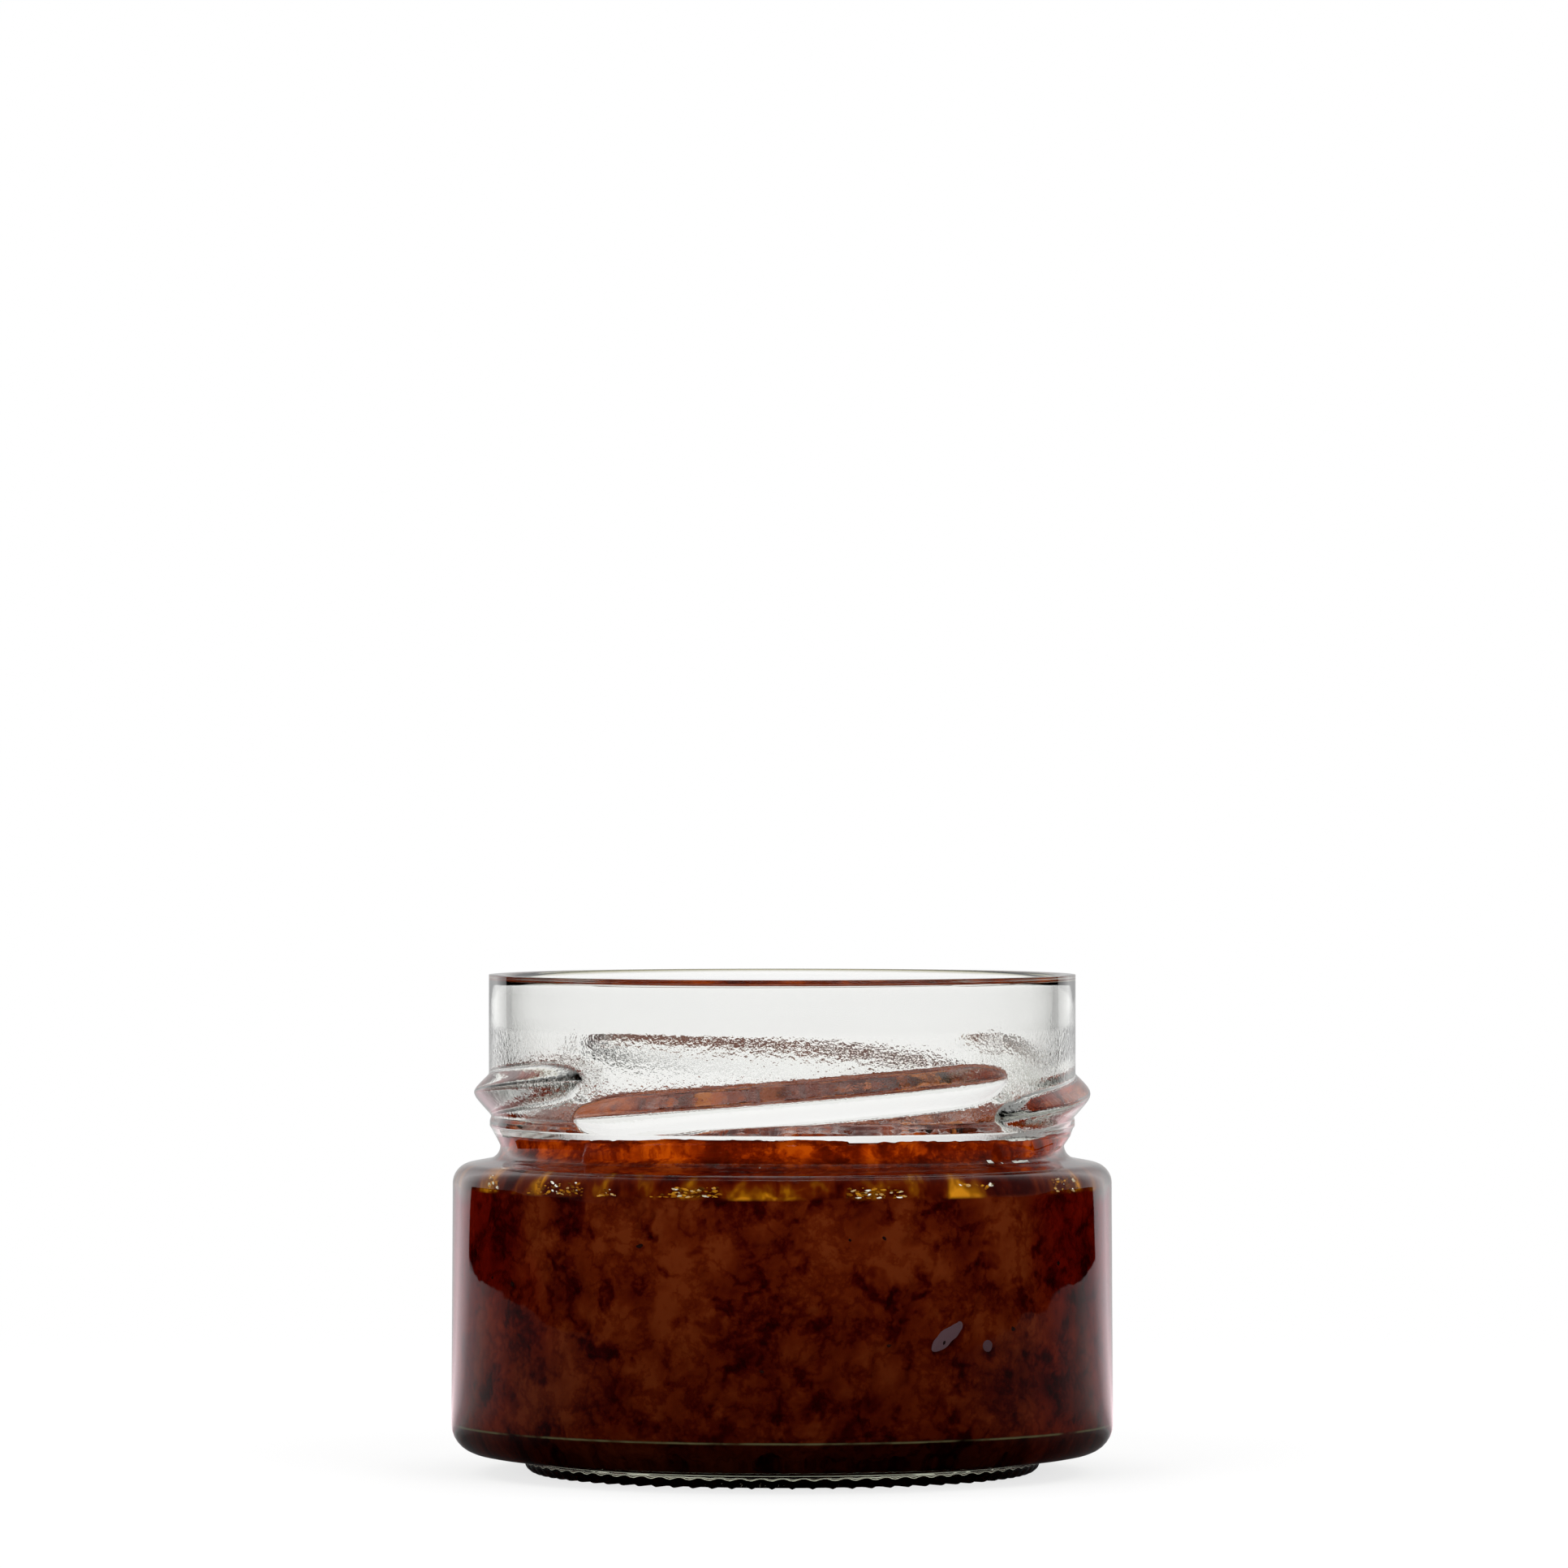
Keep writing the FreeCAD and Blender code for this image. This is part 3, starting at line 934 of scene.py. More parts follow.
    def mould(self, material: bpy.types.Material) -> Shaping:
        """The tree that presses lugs, foot ribs and a slight unevenness into the turned blank.

        Args:
            material: the glass.

        Returns:
            The tree, ready to run on the blank.
        """
        tree = Shaping("jar_mould", {
            "Lug Count": self.lug_count, "Lug Middle": self.lug_middle, "Lug Span": self.lug_span,
            "Lug Level": self.height - self.lug_drop, "Lug Rise": self.lug_rise,
            "Lug Height": self.lug_height,
            "Lug Slope": self.lug_slope, "Lug Underslope": self.lug_underslope,
            "Lug Crest": self.lug_crest, "Lug Taper": self.lug_taper, "Lug Fillet": self.lug_fillet,
            "Neck Radius": self.neck_radius,
            "Groove Top": self.height - self.bead_drop + self.bead_over,
            "Knurl Count": self.knurl_count, "Knurl Depth": self.knurl_depth,
            "Knurl Start": self.foot_radius - self.bearing_width, "Knurl End": self.foot_radius,
            "Wave Size": self.wave_size, "Wave Depth": self.wave_depth, "Inner Peel": self.inner_peel,
            "Material": material,
        })
        place = tree.get("GeometryNodeInputPosition")
        across, along, up = tree.add("ShaderNodeSeparateXYZ", place).outputs
        angle = tree.math("ARCTAN2", along, across)
        flat = tree.get("ShaderNodeCombineXYZ", across, along, 0.0)
        radius = tree.vector("LENGTH", flat, out="Value")
        outward = tree.vector("NORMALIZE", flat)
        skin = tree.named("outside")

        half = tree.math("DIVIDE", math.pi, tree.given("Lug Count"))
        turn = tree.minus(angle, tree.given("Lug Middle"))
        nearest = tree.math("WRAP", turn, half, tree.times(half, -1.0))
        level = tree.minus(up, tree.given("Lug Level"))
        relief = self.lug_relief(tree, nearest, level)
        over = tree.minus(level, self.lug_line(tree, nearest))
        short = tree.minus(tree.given("Neck Radius"), radius)
        top = tree.given("Groove Top")
        above = tree.times(
            tree.fade(over, -0.7 * MM, 0.7 * MM), tree.fade(up, top, tree.plus(top, 0.4 * MM))
        )
        wall = tree.times(short, above)
        lug = tree.math("SMOOTH_MAX", tree.plus(relief, short), wall, tree.given("Lug Fillet"))

        ripple = tree.get("ShaderNodeTexNoise", place, named={
            "Scale": tree.math("DIVIDE", 1.0, tree.given("Wave Size")), "Detail": 1.0,
        })
        wave = tree.times(tree.minus(ripple, 0.5), tree.given("Wave Depth"))
        push = tree.times(tree.plus(lug, wave), skin)
        lift = tree.times(self.foot_ribs(tree, angle, radius, up), skin)
        raised = tree.get("ShaderNodeCombineXYZ", 0.0, 0.0, lift)
        offset = tree.vector("ADD", tree.scaled(outward, push), raised)
        moved = tree.get("GeometryNodeSetPosition", tree.given("Geometry"), named={"Offset": offset})

        tip = tree.band(tree.math("ABSOLUTE", nearest), 0.66, 0.82, 0.06)
        beside = tree.band(relief, -1.6 * MM, 0.5 * MM, 0.5 * MM)
        tip = tree.times(tip, beside, skin, tree.fade(over, 0.4 * MM, 1.2 * MM, 0.0, 0.5))
        inner = tree.times(tree.band(level, -2.5 * MM, 7.0 * MM, 1.5 * MM), tree.given("Inner Peel"))
        tree.finish(tree.store(moved, "peel", tree.math("MAXIMUM", inner, tip)))
        return tree

    def build(self, finish: GlassFinish) -> bpy.types.Object:
        """Builds the glass.

        Args:
            finish: how the glass looks.

        Returns:
            The finished piece.
        """
        outline = rounded_outline(self.outside() + self.inside())
        mesh = turned_mesh("glass_jar", outline, self.segments)
        crown = max(range(len(outline)), key=lambda k: outline[k].y)
        marks = [1.0 if k < crown else 0.0 for k in range(len(outline))]
        mark_rings(mesh, "outside", self.segments, marks)
        piece = place_piece("glass_jar", mesh)
        self.mould(finish.material()).run(piece)
        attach(piece, BODY)
        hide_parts("jar")
        return piece


# --------------------------------------------------------------------------------------------------
# The contents


@dataclass
class Sauce:
    """The contents, seated a hair into the glass so that no air shows between them.

    Attributes:
        jar: the glass that holds it.
        top: mean height of its uneven top.
    """

    jar: JarGlass
    top: float
    seat: float = 0.65 * MM
    segments: int = 560
    gap_depth: float = 0.45 * MM
    top_relief: float = 2.2 * MM
    lump_size: float = 5.5 * MM
    side_step: float = 0.46 * MM
    top_step: float = 0.7 * MM
    lip_round: float = 0.25 * MM

    def outline(self) -> list[Vector]:
        """Points from the middle of the jar's floor, up the wall, and in over the top."""
        walls = self.jar.inside(self.seat)[:0:-1]
        below, above = walls[-2:]
        share = (self.top - below.z) / (above.z - below.z)
        edge = below.r + (above.r - below.r) * share
        corners = [Corner(0.0, walls[0].z, step=3.0 * MM)]
        corners += [Corner(wall.r, wall.z, wall.round, self.side_step) for wall in walls[1:-1]]
        corners += [Corner(edge, self.top, self.lip_round, self.top_step), Corner(0.0, self.top)]
        return rounded_outline(corners)

    def relief(self, side: bpy.types.Material, top: bpy.types.Material) -> Shaping:
        """The tree that sinks the gaps between lumps, and makes the top uneven.

        Args:
            side: the sauce against the glass.
            top: the open top.

        Returns:
            The tree, ready to run on the turned core.
        """
        tree = Shaping("sauce_relief", {
            "Lump Size": self.lump_size, "Gap Depth": self.gap_depth, "Top Relief": self.top_relief,
            "Level": self.top, "Material": side, "Top Material": top,
        })
        place = tree.get("GeometryNodeInputPosition")
        up = tree.get("ShaderNodeSeparateXYZ", place, out="Z")
        normal = tree.get("GeometryNodeInputNormal")
        near = tree.math("DIVIDE", 1.0, tree.given("Lump Size"))
        swirl = tree.get("ShaderNodeTexNoise", place, out="Color", named={
            "Scale": tree.times(near, 1.7), "Detail": 3.0, "Roughness": 0.6,
        })
        stray = tree.scaled(tree.vector("SUBTRACT", swirl, (0.5, 0.5, 0.5)), tree.given("Lump Size"))
        bent = tree.vector("ADD", place, tree.scaled(stray, 1.2))
        cell = tree.get("ShaderNodeTexVoronoi", bent, named={"Scale": near}, feature="F1", out="Color")
        tone = tree.get("ShaderNodeSeparateXYZ", cell, out="X")
        edge = tree.get(
            "ShaderNodeTexVoronoi", bent, named={"Scale": near}, feature="DISTANCE_TO_EDGE", out="Distance"
        )
        crown = tree.fade(edge, 0.0, 0.28)
        cloud = tree.get("ShaderNodeTexNoise", place, named={
            "Scale": tree.times(near, 0.75), "Detail": 3.0, "Roughness": 0.55, "Distortion": 0.4,
        })
        mixed = tree.math("MULTIPLY_ADD", tone, 0.30, tree.times(cloud, 0.55))
        lump = tree.math("MULTIPLY_ADD", crown, 0.22, mixed)
        gap = tree.times(tree.fade(lump, 0.25, 0.6, 1.0, 0.0), tree.given("Gap Depth"))
        side_shift = tree.scaled(normal, tree.times(gap, -1.0))
        on_top = tree.fade(up, tree.minus(tree.given("Level"), 0.7 * MM), tree.given("Level"))
        reach = tree.vector("LENGTH", tree.flat(place), out="Value")
        calm = tree.fade(reach, 24.0 * MM, 29.5 * MM, 1.0, 0.22)
        heave = tree.times(tree.minus(lump, 0.55), tree.given("Top Relief"), calm, on_top)
        rise = tree.get("ShaderNodeCombineXYZ", 0.0, 0.0, heave)
        offset = tree.vector("ADD", side_shift, rise)
        moved = tree.get("GeometryNodeSetPosition", tree.given("Geometry"), named={"Offset": offset})
        facing_up = tree.get("ShaderNodeSeparateXYZ", normal, out="Z")
        level = tree.minus(tree.given("Level"), 1.5 * MM)
        open_top = tree.times(
            tree.math("GREATER_THAN", facing_up, 0.45), tree.math("GREATER_THAN", up, level)
        )
        tree.finish(tree.store(moved, "lump", lump), open_top)
        return tree

    def build(self, finish: SauceFinish) -> bpy.types.Object:
        """Builds the contents.

        Args:
            finish: how the sauce looks.

        Returns:
            The finished piece.
        """
        piece = place_piece("sauce_core", turned_mesh("sauce_core", self.outline(), self.segments))
        self.relief(finish.material(), replace(finish, wet=True).material()).run(piece)
        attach(piece, BODY)
        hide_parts("sauce")
        return piece


# --------------------------------------------------------------------------------------------------
# Small pieces in the sauce


class Shades(Enum):
    """What small pieces are coloured, from one random end to the other."""

    # Painted glints: the gold and white end stands in for light caught by oil and air under the shoulder.
    OIL_AND_GLINT = (
        (0.0, (0.05, 0.016, 0.002)), (0.45, (0.26, 0.085, 0.004)), (0.75, (0.46, 0.21, 0.015)),
        (0.92, (0.46, 0.40, 0.26)), (1.0, (0.95, 0.95, 0.88)),
    )
    CHOPPED = ((0.0, (0.120, 0.014, 0.002)), (0.5, (0.190, 0.036, 0.003)), (1.0, (0.32, 0.090, 0.008)))
    DARK = ((0.0, (0.004, 0.002, 0.002)), (1.0, (0.014, 0.004, 0.003)))
    PALE = ((0.0, (0.046, 0.024, 0.028)), (1.0, (0.062, 0.036, 0.042)))


@dataclass(frozen=True)
class BitFinish:
    """Small pieces, each with its own shade and a mottle of its own.

    Attributes:
        name: the material's name.
        shades: the colours that the pieces take.
        roughness: how dull they are.
        shine: how strongly they reflect.
    """

    name: str
    shades: Shades
    roughness: float = 0.4
    shine: float = 0.0

    def material(self) -> bpy.types.Material:
        """The finished material."""
        material, graph = new_material(self.name)
        place = graph.get("ShaderNodeTexCoord", out="Object")
        shade = graph.get("ShaderNodeAttribute", attribute_name="shade", out="Fac")
        mottle = graph.math("MULTIPLY_ADD", graph.noise(place, 0.8 * MM, 3.0, 0.6), 0.5, -0.25)
        colour = graph.ramp(graph.plus(shade, mottle), self.shades.value)
        surface = graph.get("ShaderNodeBsdfPrincipled", named={
            "Base Color": colour, "Roughness": self.roughness, "Specular IOR Level": self.shine,
        })
        graph.add("ShaderNodeOutputMaterial", surface)
        return material


@dataclass
class Bits:
    """Small pieces of one kind, strewn round the wall or over the top from a fixed seed.

    Attributes:
        name: the piece's name.
        finish: how they look.
        count: how many places are tried.
        seed: the first of the seeds.
        reach: nearest and farthest distance from the axis.
        level: lowest and highest height.
        around: first and last direction from the axis, counter-clockwise from +X.
        length: shortest and longest half length.
        slim: half height for each length.
        thick: half thickness for each length.
        roll: least and most turn in their plane.
        lying: whether they lie flat on the top, and don't stand against the wall.
        grouped: share of places left empty between groups.
        fine: how finely each piece is divided.
        ragged: how many lumps its outline has for each length.
        jagged: how uneven its outline is, for each length.
        parted: angle on either side of their middle direction that stays bare.
    """

    name: str
    finish: BitFinish
    count: int
    seed: int
    reach: Span
    level: Span
    around: Span
    length: Span
    slim: float
    thick: float
    roll: Span
    lying: bool = False
    grouped: float = 0.0
    fine: int = 2
    ragged: float = 1.1
    jagged: float = 0.35
    parted: float = 0.0

    # How many groups of pieces there are in a metre.
    GROUP_SCALE: ClassVar[float] = 110.0

    def strew(self) -> Shaping:
        """The tree that makes the pieces, ready to run on an empty mesh."""
        tree = Shaping(self.name, {
            "Count": self.count, "Near": self.reach[0], "Far": self.reach[1], "Low": self.level[0],
            "High": self.level[1], "First": self.around[0], "Last": self.around[1],
            "Shortest": self.length[0], "Longest": self.length[1], "Slim": self.slim, "Thick": self.thick,
            "Least Turn": self.roll[0], "Most Turn": self.roll[1],
            "Grouped": self.grouped, "Ragged": self.ragged, "Jagged": self.jagged, "Parted": self.parted,
            "Material": self.finish.material(),
        })
        middle = tree.times(tree.plus(tree.given("First"), tree.given("Last")), 0.5)
        angle = tree.random(tree.given("First"), tree.given("Last"), self.seed)
        side = tree.math("SIGN", tree.minus(angle, middle))
        angle = tree.math("MULTIPLY_ADD", side, tree.given("Parted"), angle)
        near, far = tree.given("Near"), tree.given("Far")
        square = tree.random(tree.times(near, near), tree.times(far, far), self.seed + 1)
        radius = tree.math("SQRT", square)
        height = tree.random(tree.given("Low"), tree.given("High"), self.seed + 2)
        across = tree.times(tree.math("COSINE", angle), radius)
        along = tree.times(tree.math("SINE", angle), radius)
        start = tree.get("ShaderNodeCombineXYZ", across, along, height)
        points = tree.get("GeometryNodePoints", tree.given("Count"), start)
        place = tree.get("GeometryNodeInputPosition")
        group = tree.get("ShaderNodeTexNoise", place, named={"Scale": self.GROUP_SCALE, "Detail": 1.0})
        empty = tree.math("LESS_THAN", tree.fade(group, 0.35, 0.65), tree.given("Grouped"))
        kept = tree.get("GeometryNodeDeleteGeometry", points, empty, domain="POINT")

        east, north, _ = tree.add("ShaderNodeSeparateXYZ", place).outputs
        facing = tree.minus(tree.math("ARCTAN2", north, east), math.pi / 2.0)
        roll = tree.random(tree.given("Least Turn"), tree.given("Most Turn"), self.seed + 3)
        pitch, heading = (0.0, roll) if self.lying else (roll, facing)
        turn = tree.get("ShaderNodeCombineXYZ", 0.0, pitch, heading)
        length = tree.random(tree.given("Shortest"), tree.given("Longest"), self.seed + 4)
        slim = tree.times(tree.given("Slim"), tree.random(0.7, 1.3, self.seed + 5))
        thick = tree.given("Thick")
        deep, tall = (slim, thick) if self.lying else (thick, slim)
        share = tree.get("ShaderNodeCombineXYZ", 1.0, deep, tall)
        ball = tree.get("GeometryNodeMeshIcoSphere", 1.0, self.fine)
        shaded = tree.store(kept, "shade", tree.random(0.0, 1.0, self.seed + 6))
        placed = tree.get("GeometryNodeInstanceOnPoints", shaded, named={
            "Instance": ball, "Rotation": turn, "Scale": tree.scaled(share, length),
        })
        real = tree.get("GeometryNodeRealizeInstances", placed)
        half = tree.given("Longest")
        swirl = tree.get("ShaderNodeTexNoise", place, out="Color", named={
            "Scale": tree.math("DIVIDE", tree.given("Ragged"), half), "Detail": 2.0,
        })
        stray = tree.scaled(tree.vector("SUBTRACT", swirl, (0.5, 0.5, 0.5)), tree.times(half, 2.0))
        stray = tree.scaled(stray, tree.given("Jagged"))
        radial = tree.vector("NORMALIZE", tree.flat(place))
        plane = (0.0, 0.0, 1.0) if self.lying else radial
        stray = tree.vector("SUBTRACT", stray, tree.vector("PROJECT", stray, plane))
        tree.finish(tree.get("GeometryNodeSetPosition", real, named={"Offset": stray}))
        return tree

    def build(self) -> bpy.types.Object:
        """Builds the pieces as one."""
        piece = place_piece(self.name, bpy.data.meshes.new(self.name))
        self.strew().run(piece)
        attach(piece, BODY)
        return piece


def front(degrees: float) -> float:
    """A direction from the axis, given as degrees to the right of the side that faces the camera."""
    return math.radians(degrees - 90.0)


def small_pieces(jar: JarGlass, sauce: Sauce) -> list[Bits]:
    """Everything small that lies in the sauce against the glass or loose on top.

    Args:
        jar: the glass.
        sauce: the contents.

    Returns:
        The pieces, not yet built.
    """
    wall = jar.inner_radius + sauce.seat
    ring = jar.ring_level
    whole = (front(-180.0), front(180.0))
    glints = BitFinish("oil_glint", Shades.OIL_AND_GLINT, roughness=0.35)
    chopped = BitFinish("chopped_piece", Shades.CHOPPED, roughness=0.22, shine=0.5)
    dark = BitFinish("dark_speck", Shades.DARK, roughness=0.5)
    pale = BitFinish("pale_flake", Shades.PALE, roughness=0.6)
    near = (wall - 0.10 * MM, wall - 0.05 * MM)
    return [
        # Painted glints: pieces of oil and air under the shoulder, whose light is in their pale colour.
        Bits(
            "oil_glints", glints, count=700, seed=11, reach=(wall - 0.16 * MM, wall),
            level=(ring - 0.7 * MM, ring + 0.25 * MM), around=(front(-54.0), front(54.0)),
            length=(0.08 * MM, 0.42 * MM), slim=0.26, thick=0.20, roll=(-0.2, 0.2),
            grouped=0.36, fine=1, jagged=0.25, parted=math.radians(11.0),
        ),
        Bits(
            "dark_specks", dark, count=46, seed=31, reach=near,
            level=(jar.floor_height + 1.5 * MM, ring - 2.0 * MM), around=whole,
            length=(0.18 * MM, 0.45 * MM), slim=0.7, thick=0.5, roll=(-1.5, 1.5), jagged=0.3,
        ),
        Bits(
            "pale_flake", pale, count=1, seed=47, reach=near, level=(17.0 * MM, 17.0 * MM),
            around=(front(30.2), front(30.2)), length=(2.4 * MM, 2.4 * MM), slim=0.40, thick=0.06,
            roll=(0.72, 0.72), fine=4, jagged=0.16,
        ),
        Bits(
            "pale_spot", pale, count=1, seed=53, reach=near, level=(15.8 * MM, 15.8 * MM),
            around=(front(38.8), front(38.8)), length=(0.65 * MM, 0.65 * MM), slim=0.85, thick=0.2,
            roll=(0.3, 0.3), fine=3, jagged=0.2,
        ),
        Bits(
            "chopped_pieces", chopped, count=460, seed=61, reach=(0.0, 26.0 * MM),
            level=(sauce.top - 0.7 * MM, sauce.top + 0.1 * MM), around=whole,
            length=(0.5 * MM, 1.9 * MM), slim=0.55, thick=0.36, roll=(-3.1, 3.1),
            lying=True, ragged=2.6, jagged=0.42,
        ),
    ]


# --------------------------------------------------------------------------------------------------
# The studio


@dataclass
class Studio:
    """A plain pale floor, a pale room, soft lamps, and the camera.

    Attributes:
        camera_place: where the camera stands, level and looking along +Y.
        lens: its focal length in millimetres.
        sensor: its sensor's width in millimetres.
        far_clip: the farthest that it sees.
        floor_size: width of the floor.
        floor_gap: how far the floor lies under the standing plane.
        table_reach: from the table's middle to its edge, past which reflections show a dark floor.
        table_back: how far the table's middle lies behind the object.
        table_ragged: how uneven the table's edge is.
        table_edge: half the width of its soft edge.
        blush: the faint colour of the floor far round, in reflections.
        painted_shadow_near: what the floor under the object is coloured through the glass, a painted shadow
            tinted green-yellow.
        card: what the floor is coloured for light that falls on it.
        shadow_share: how strongly the camera sees the object's shadow.
        softbox: brightness of the patch of room overhead, through the glass.
    """

    camera_place: tuple[float, float, float] = (0.0002, -1.050, 0.0773)
    lens: float = 214.3
    sensor: float = 36.0
    far_clip: float = 50.0
    floor_size: float = 12.0
    floor_gap: float = 0.05 * MM
    table_reach: float = 0.43
    table_back: float = 0.15
    table_ragged: float = 0.12
    table_edge: float = 0.006
    blush: Colour = (1.06, 0.85, 0.89)
    painted_shadow_near: Colour = (0.20, 0.18, 0.03)
    card: Colour = (0.85, 0.85, 0.85)
    shadow_share: float = 0.28
    softbox: float = 2.2

    # Brightness of the room in reflections, from the camera's side (0) round to the far side (1).
    ROOM: ClassVar[tuple[Span, ...]] = (
        (0.0, 0.0), (0.20, 0.0), (0.40, 0.04), (0.60, 0.08), (0.73, 0.20), (0.85, 0.50), (0.90, 0.95),
        (0.94, 1.30), (0.965, 0.92), (0.985, 0.62), (1.0, 0.60),
    )
    # The same through the glass.
    THROUGH: ClassVar[tuple[Span, ...]] = (
        (0.0, 0.12), (0.30, 0.14), (0.60, 0.20), (0.80, 0.36), (0.90, 0.58), (0.955, 0.78),
        (0.985, 1.0), (1.0, 1.0),
    )
    # Each lamp's name, place, width and power in watts.
    LAMPS: ClassVar[tuple[tuple[str, tuple[float, float, float], float, float], ...]] = (
        ("overhead", (0.0, 0.05, 1.3), 1.0, 9.0),
        ("front_left", (-0.9, -1.1, 0.9), 0.8, 7.0),
        ("front_right", (0.9, -1.1, 0.9), 0.8, 7.0),
    )

    def camera(self) -> None:
        """Makes the camera and hands it to the scene."""
        data = bpy.data.cameras.new("camera")
        data.lens = self.lens
        data.sensor_width = self.sensor
        data.clip_end = self.far_clip
        camera = bpy.data.objects.new("camera", data)
        camera.location = self.camera_place
        camera.rotation_euler = (math.radians(90.0), 0.0, 0.0)
        bpy.context.scene.collection.objects.link(camera)
        bpy.context.scene.camera = camera

    def lamps(self) -> None:
        """Hangs the soft square lamps, which glass and gloss don't show."""
        aim = Vector((0.0, 0.0, 0.02))
        for name, place, width, power in self.LAMPS:
            data = bpy.data.lights.new(name, "AREA")
            data.size = width
            data.energy = power
            lamp = bpy.data.objects.new(name, data)
            lamp.location = place
            lamp.rotation_euler = (aim - Vector(place)).to_track_quat("-Z", "Y").to_euler()
            lamp.visible_glossy = False
            lamp.visible_transmission = False
            lamp.visible_camera = False
            bpy.context.scene.collection.objects.link(lamp)

    def around(self, graph: Graph, place: Feed) -> Socket:
        """How far round a place lies.

        Args:
            graph: the tree to build in.
            place: the place or direction, from the object.

        Returns:
            The output that holds it, from 0 at the camera's side to 1 at the far side.
        """
        across, along, _ = graph.add("ShaderNodeSeparateXYZ", place).outputs
        flat = graph.get("ShaderNodeCombineXYZ", across, along, 0.0)
        ahead = graph.get("ShaderNodeSeparateXYZ", graph.vector("NORMALIZE", flat), out="Y")
        return graph.math("MULTIPLY_ADD", ahead, 0.5, 0.5)

    def world(self) -> None:
        """Lights the room: white to the camera, and in the glass darker towards the camera's side."""
        world = bpy.data.worlds.new("pale_room")
        bpy.context.scene.world = world
        world.use_nodes = True
        graph = Graph(world.node_tree)
        ray = graph.get("ShaderNodeTexCoord", out="Generated")
        up = graph.get("ShaderNodeSeparateXYZ", ray, out="Z")
        around = self.around(graph, ray)
        path = graph.add("ShaderNodeLightPath")
        softbox = graph.fade(up, 0.982, 0.992, 0.0, self.softbox)
        wall = graph.fade(up, 0.30, 0.75, 1.0, 0.7)
        gloss = graph.times(graph.steps(around, self.ROOM), wall)
        through = graph.times(graph.steps(around, self.THROUGH), wall)
        through = graph.math("MAXIMUM", through, softbox)
        level = graph.blend(path.outputs["Is Glossy Ray"], (0.6, 0.6, 0.6), gloss)
        level = graph.blend(path.outputs["Is Transmission Ray"], level, through)
        level = graph.blend(path.outputs["Is Camera Ray"], level, WHITE)
        graph.add("ShaderNodeOutputWorld", graph.get("ShaderNodeBackground", level, 1.0))

    def floor_in_gloss(self, graph: Graph, place: Feed, reach: Feed, around: Feed) -> Socket:
        """The floor in reflections: as bright as the room behind it, but dark past the table's edge.

        Args:
            graph: the tree to build in.
            place: the coordinates.
            reach: their distance from the object.
            around: how far round they lie.

        Returns:
            The shader.
        """
        beside = graph.fade(around, 0.866, 0.874, 1.0, 0.0)
        ragged = graph.times(graph.minus(graph.noise(place, 0.12, 2.0), 0.5), self.table_ragged)
        middle = graph.vector("SUBTRACT", place, (0.0, self.table_back, 0.0))
        table = graph.plus(graph.vector("LENGTH", middle, out="Value"), ragged)
        past = graph.fade(table, self.table_reach - self.table_edge, self.table_reach + self.table_edge)
        lit = graph.math("MULTIPLY_ADD", graph.times(beside, past), -1.0, 1.0)
        room = graph.times(graph.steps(around, self.ROOM), lit)
        far_round = graph.band(around, 0.80, 0.975, 0.02)
        blush = graph.times(far_round, graph.fade(reach, 0.75, 1.05, 1.0, 0.0))
        return graph.get("ShaderNodeEmission", graph.blend(blush, WHITE, self.blush), room)

    def floor_through(self, graph: Graph, reach: Feed, around: Feed) -> Socket:
        """The floor through the glass: darker under the object from painted shadow as well as its lit
        shade, and as bright as the room beyond.

        Args:
            graph: the tree to build in.
            reach: distance from the object.
            around: how far round the place lies.

        Returns:
            The shader.
        """
        beyond = graph.get("ShaderNodeEmission", opaque(WHITE), graph.steps(around, self.THROUGH))
        # Painted shadow: the floor under the object darker and green-yellow, on top of the shadow that its
        # lighting casts.
        painted_dim = graph.blend(graph.fade(reach, 0.035, 0.16), self.painted_shadow_near, self.card)
        under = graph.get("ShaderNodeBsdfDiffuse", painted_dim, 0.0)
        return graph.get("ShaderNodeMixShader", graph.fade(reach, 0.12, 0.35), under, beyond)

    def floor(self) -> None:
        """Makes the floor: white to the camera but for a soft shadow, and its own in gloss and glass."""
        half = self.floor_size / 2.0
        corners = [(-half, -half, 0.0), (half, -half, 0.0), (half, half, 0.0), (-half, half, 0.0)]
        mesh = bpy.data.meshes.new("floor")
        mesh.from_pydata(corners, [], [(0, 1, 2, 3)])
        floor = place_piece("floor", mesh)
        floor.location.z = -self.floor_gap
        material, graph = new_material("white_card")
        place = graph.get("ShaderNodeTexCoord", out="Object")
        reach = graph.vector("LENGTH", place, out="Value")
        around = self.around(graph, place)
        path = graph.add("ShaderNodeLightPath")
        card = graph.get("ShaderNodeBsdfDiffuse", opaque(self.card), 0.0)
        white = graph.get("ShaderNodeEmission", opaque(WHITE), 1.0)
        near = graph.fade(reach, 0.10, 0.30, self.shadow_share, 0.0)
        seen = graph.get("ShaderNodeMixShader", near, white, card)
        gloss = self.floor_in_gloss(graph, place, reach, around)
        through = self.floor_through(graph, reach, around)
        shade = graph.get("ShaderNodeMixShader", path.outputs["Is Glossy Ray"], card, gloss)
        shade = graph.get("ShaderNodeMixShader", path.outputs["Is Transmission Ray"], shade, through)
        shade = graph.get("ShaderNodeMixShader", path.outputs["Is Camera Ray"], shade, seen)
        graph.add("ShaderNodeOutputMaterial", shade)
        mesh.materials.append(material)

    def build(self) -> None:
        """Sets up everything round the object."""
        self.camera()
        self.lamps()
        self.world()
        self.floor()
        bpy.context.scene.view_settings.view_transform = "Standard"


def report(piece: bpy.types.Object) -> None:
    """Logs a piece's name and how many triangles it has."""
    piece.data.calc_loop_triangles()
    log.info("%s: %d triangles", piece.name, len(piece.data.loop_triangles))


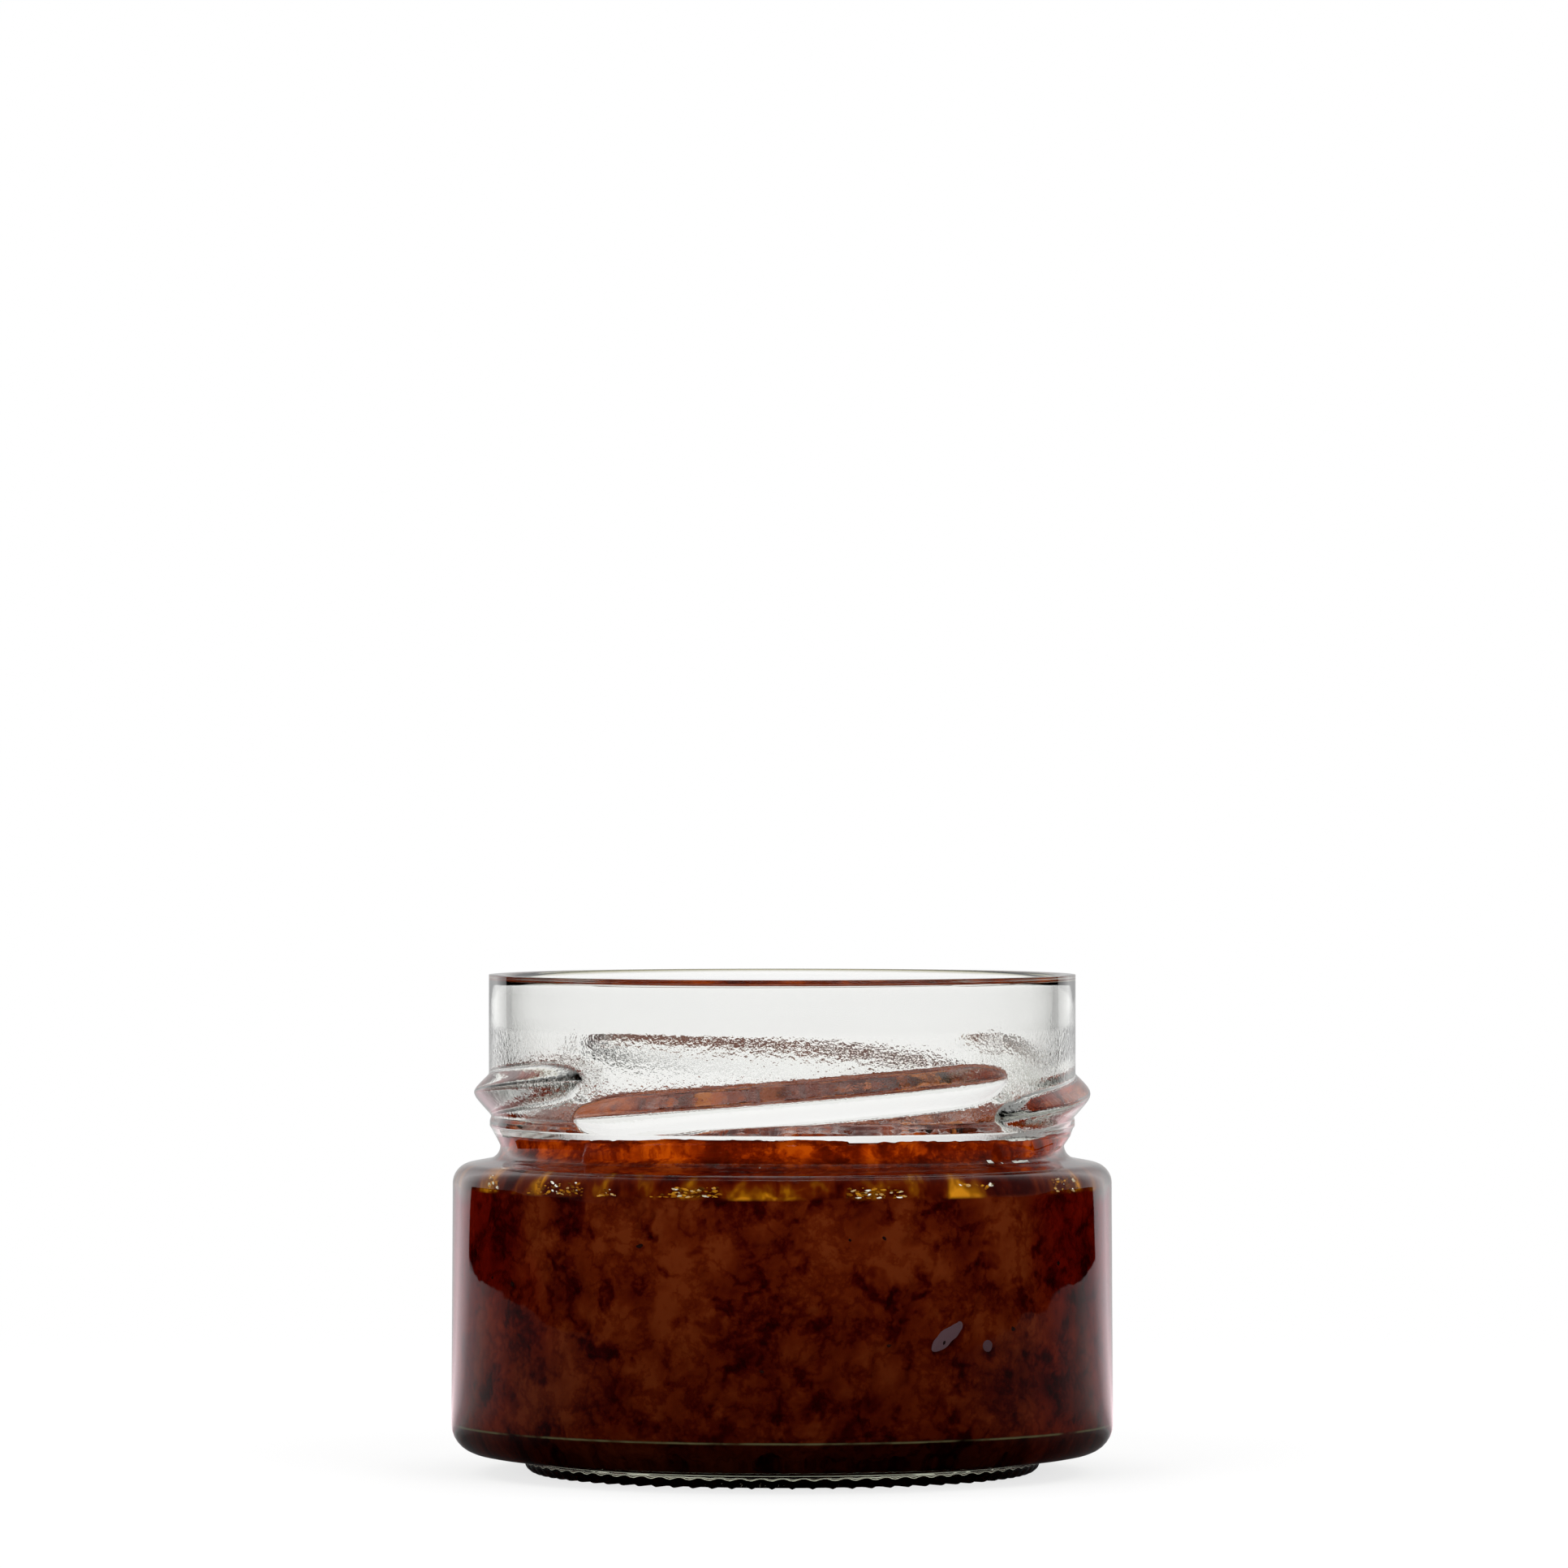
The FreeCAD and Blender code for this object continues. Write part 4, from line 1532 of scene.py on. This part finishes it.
def main() -> None:
    logging.basicConfig(level=logging.INFO, format="%(name)s %(message)s")
    high = CAD_BOX[1]
    jar = JarGlass(height=high.z, radius=high.x)
    report(jar.build(GlassFinish()))
    sauce = Sauce(jar=jar, top=jar.height - SAUCE_DROP)
    finish = SauceFinish(
        top_level=sauce.top,
        neck_level=jar.inner_shoulder - 1.8 * MM,
        edge_level=jar.ring_level - 0.8 * MM,
        floor_level=jar.floor_height,
    )
    report(sauce.build(finish))
    for bits in small_pieces(jar, sauce):
        report(bits.build())
    Studio().build()


if __name__ == "__main__":
    main()
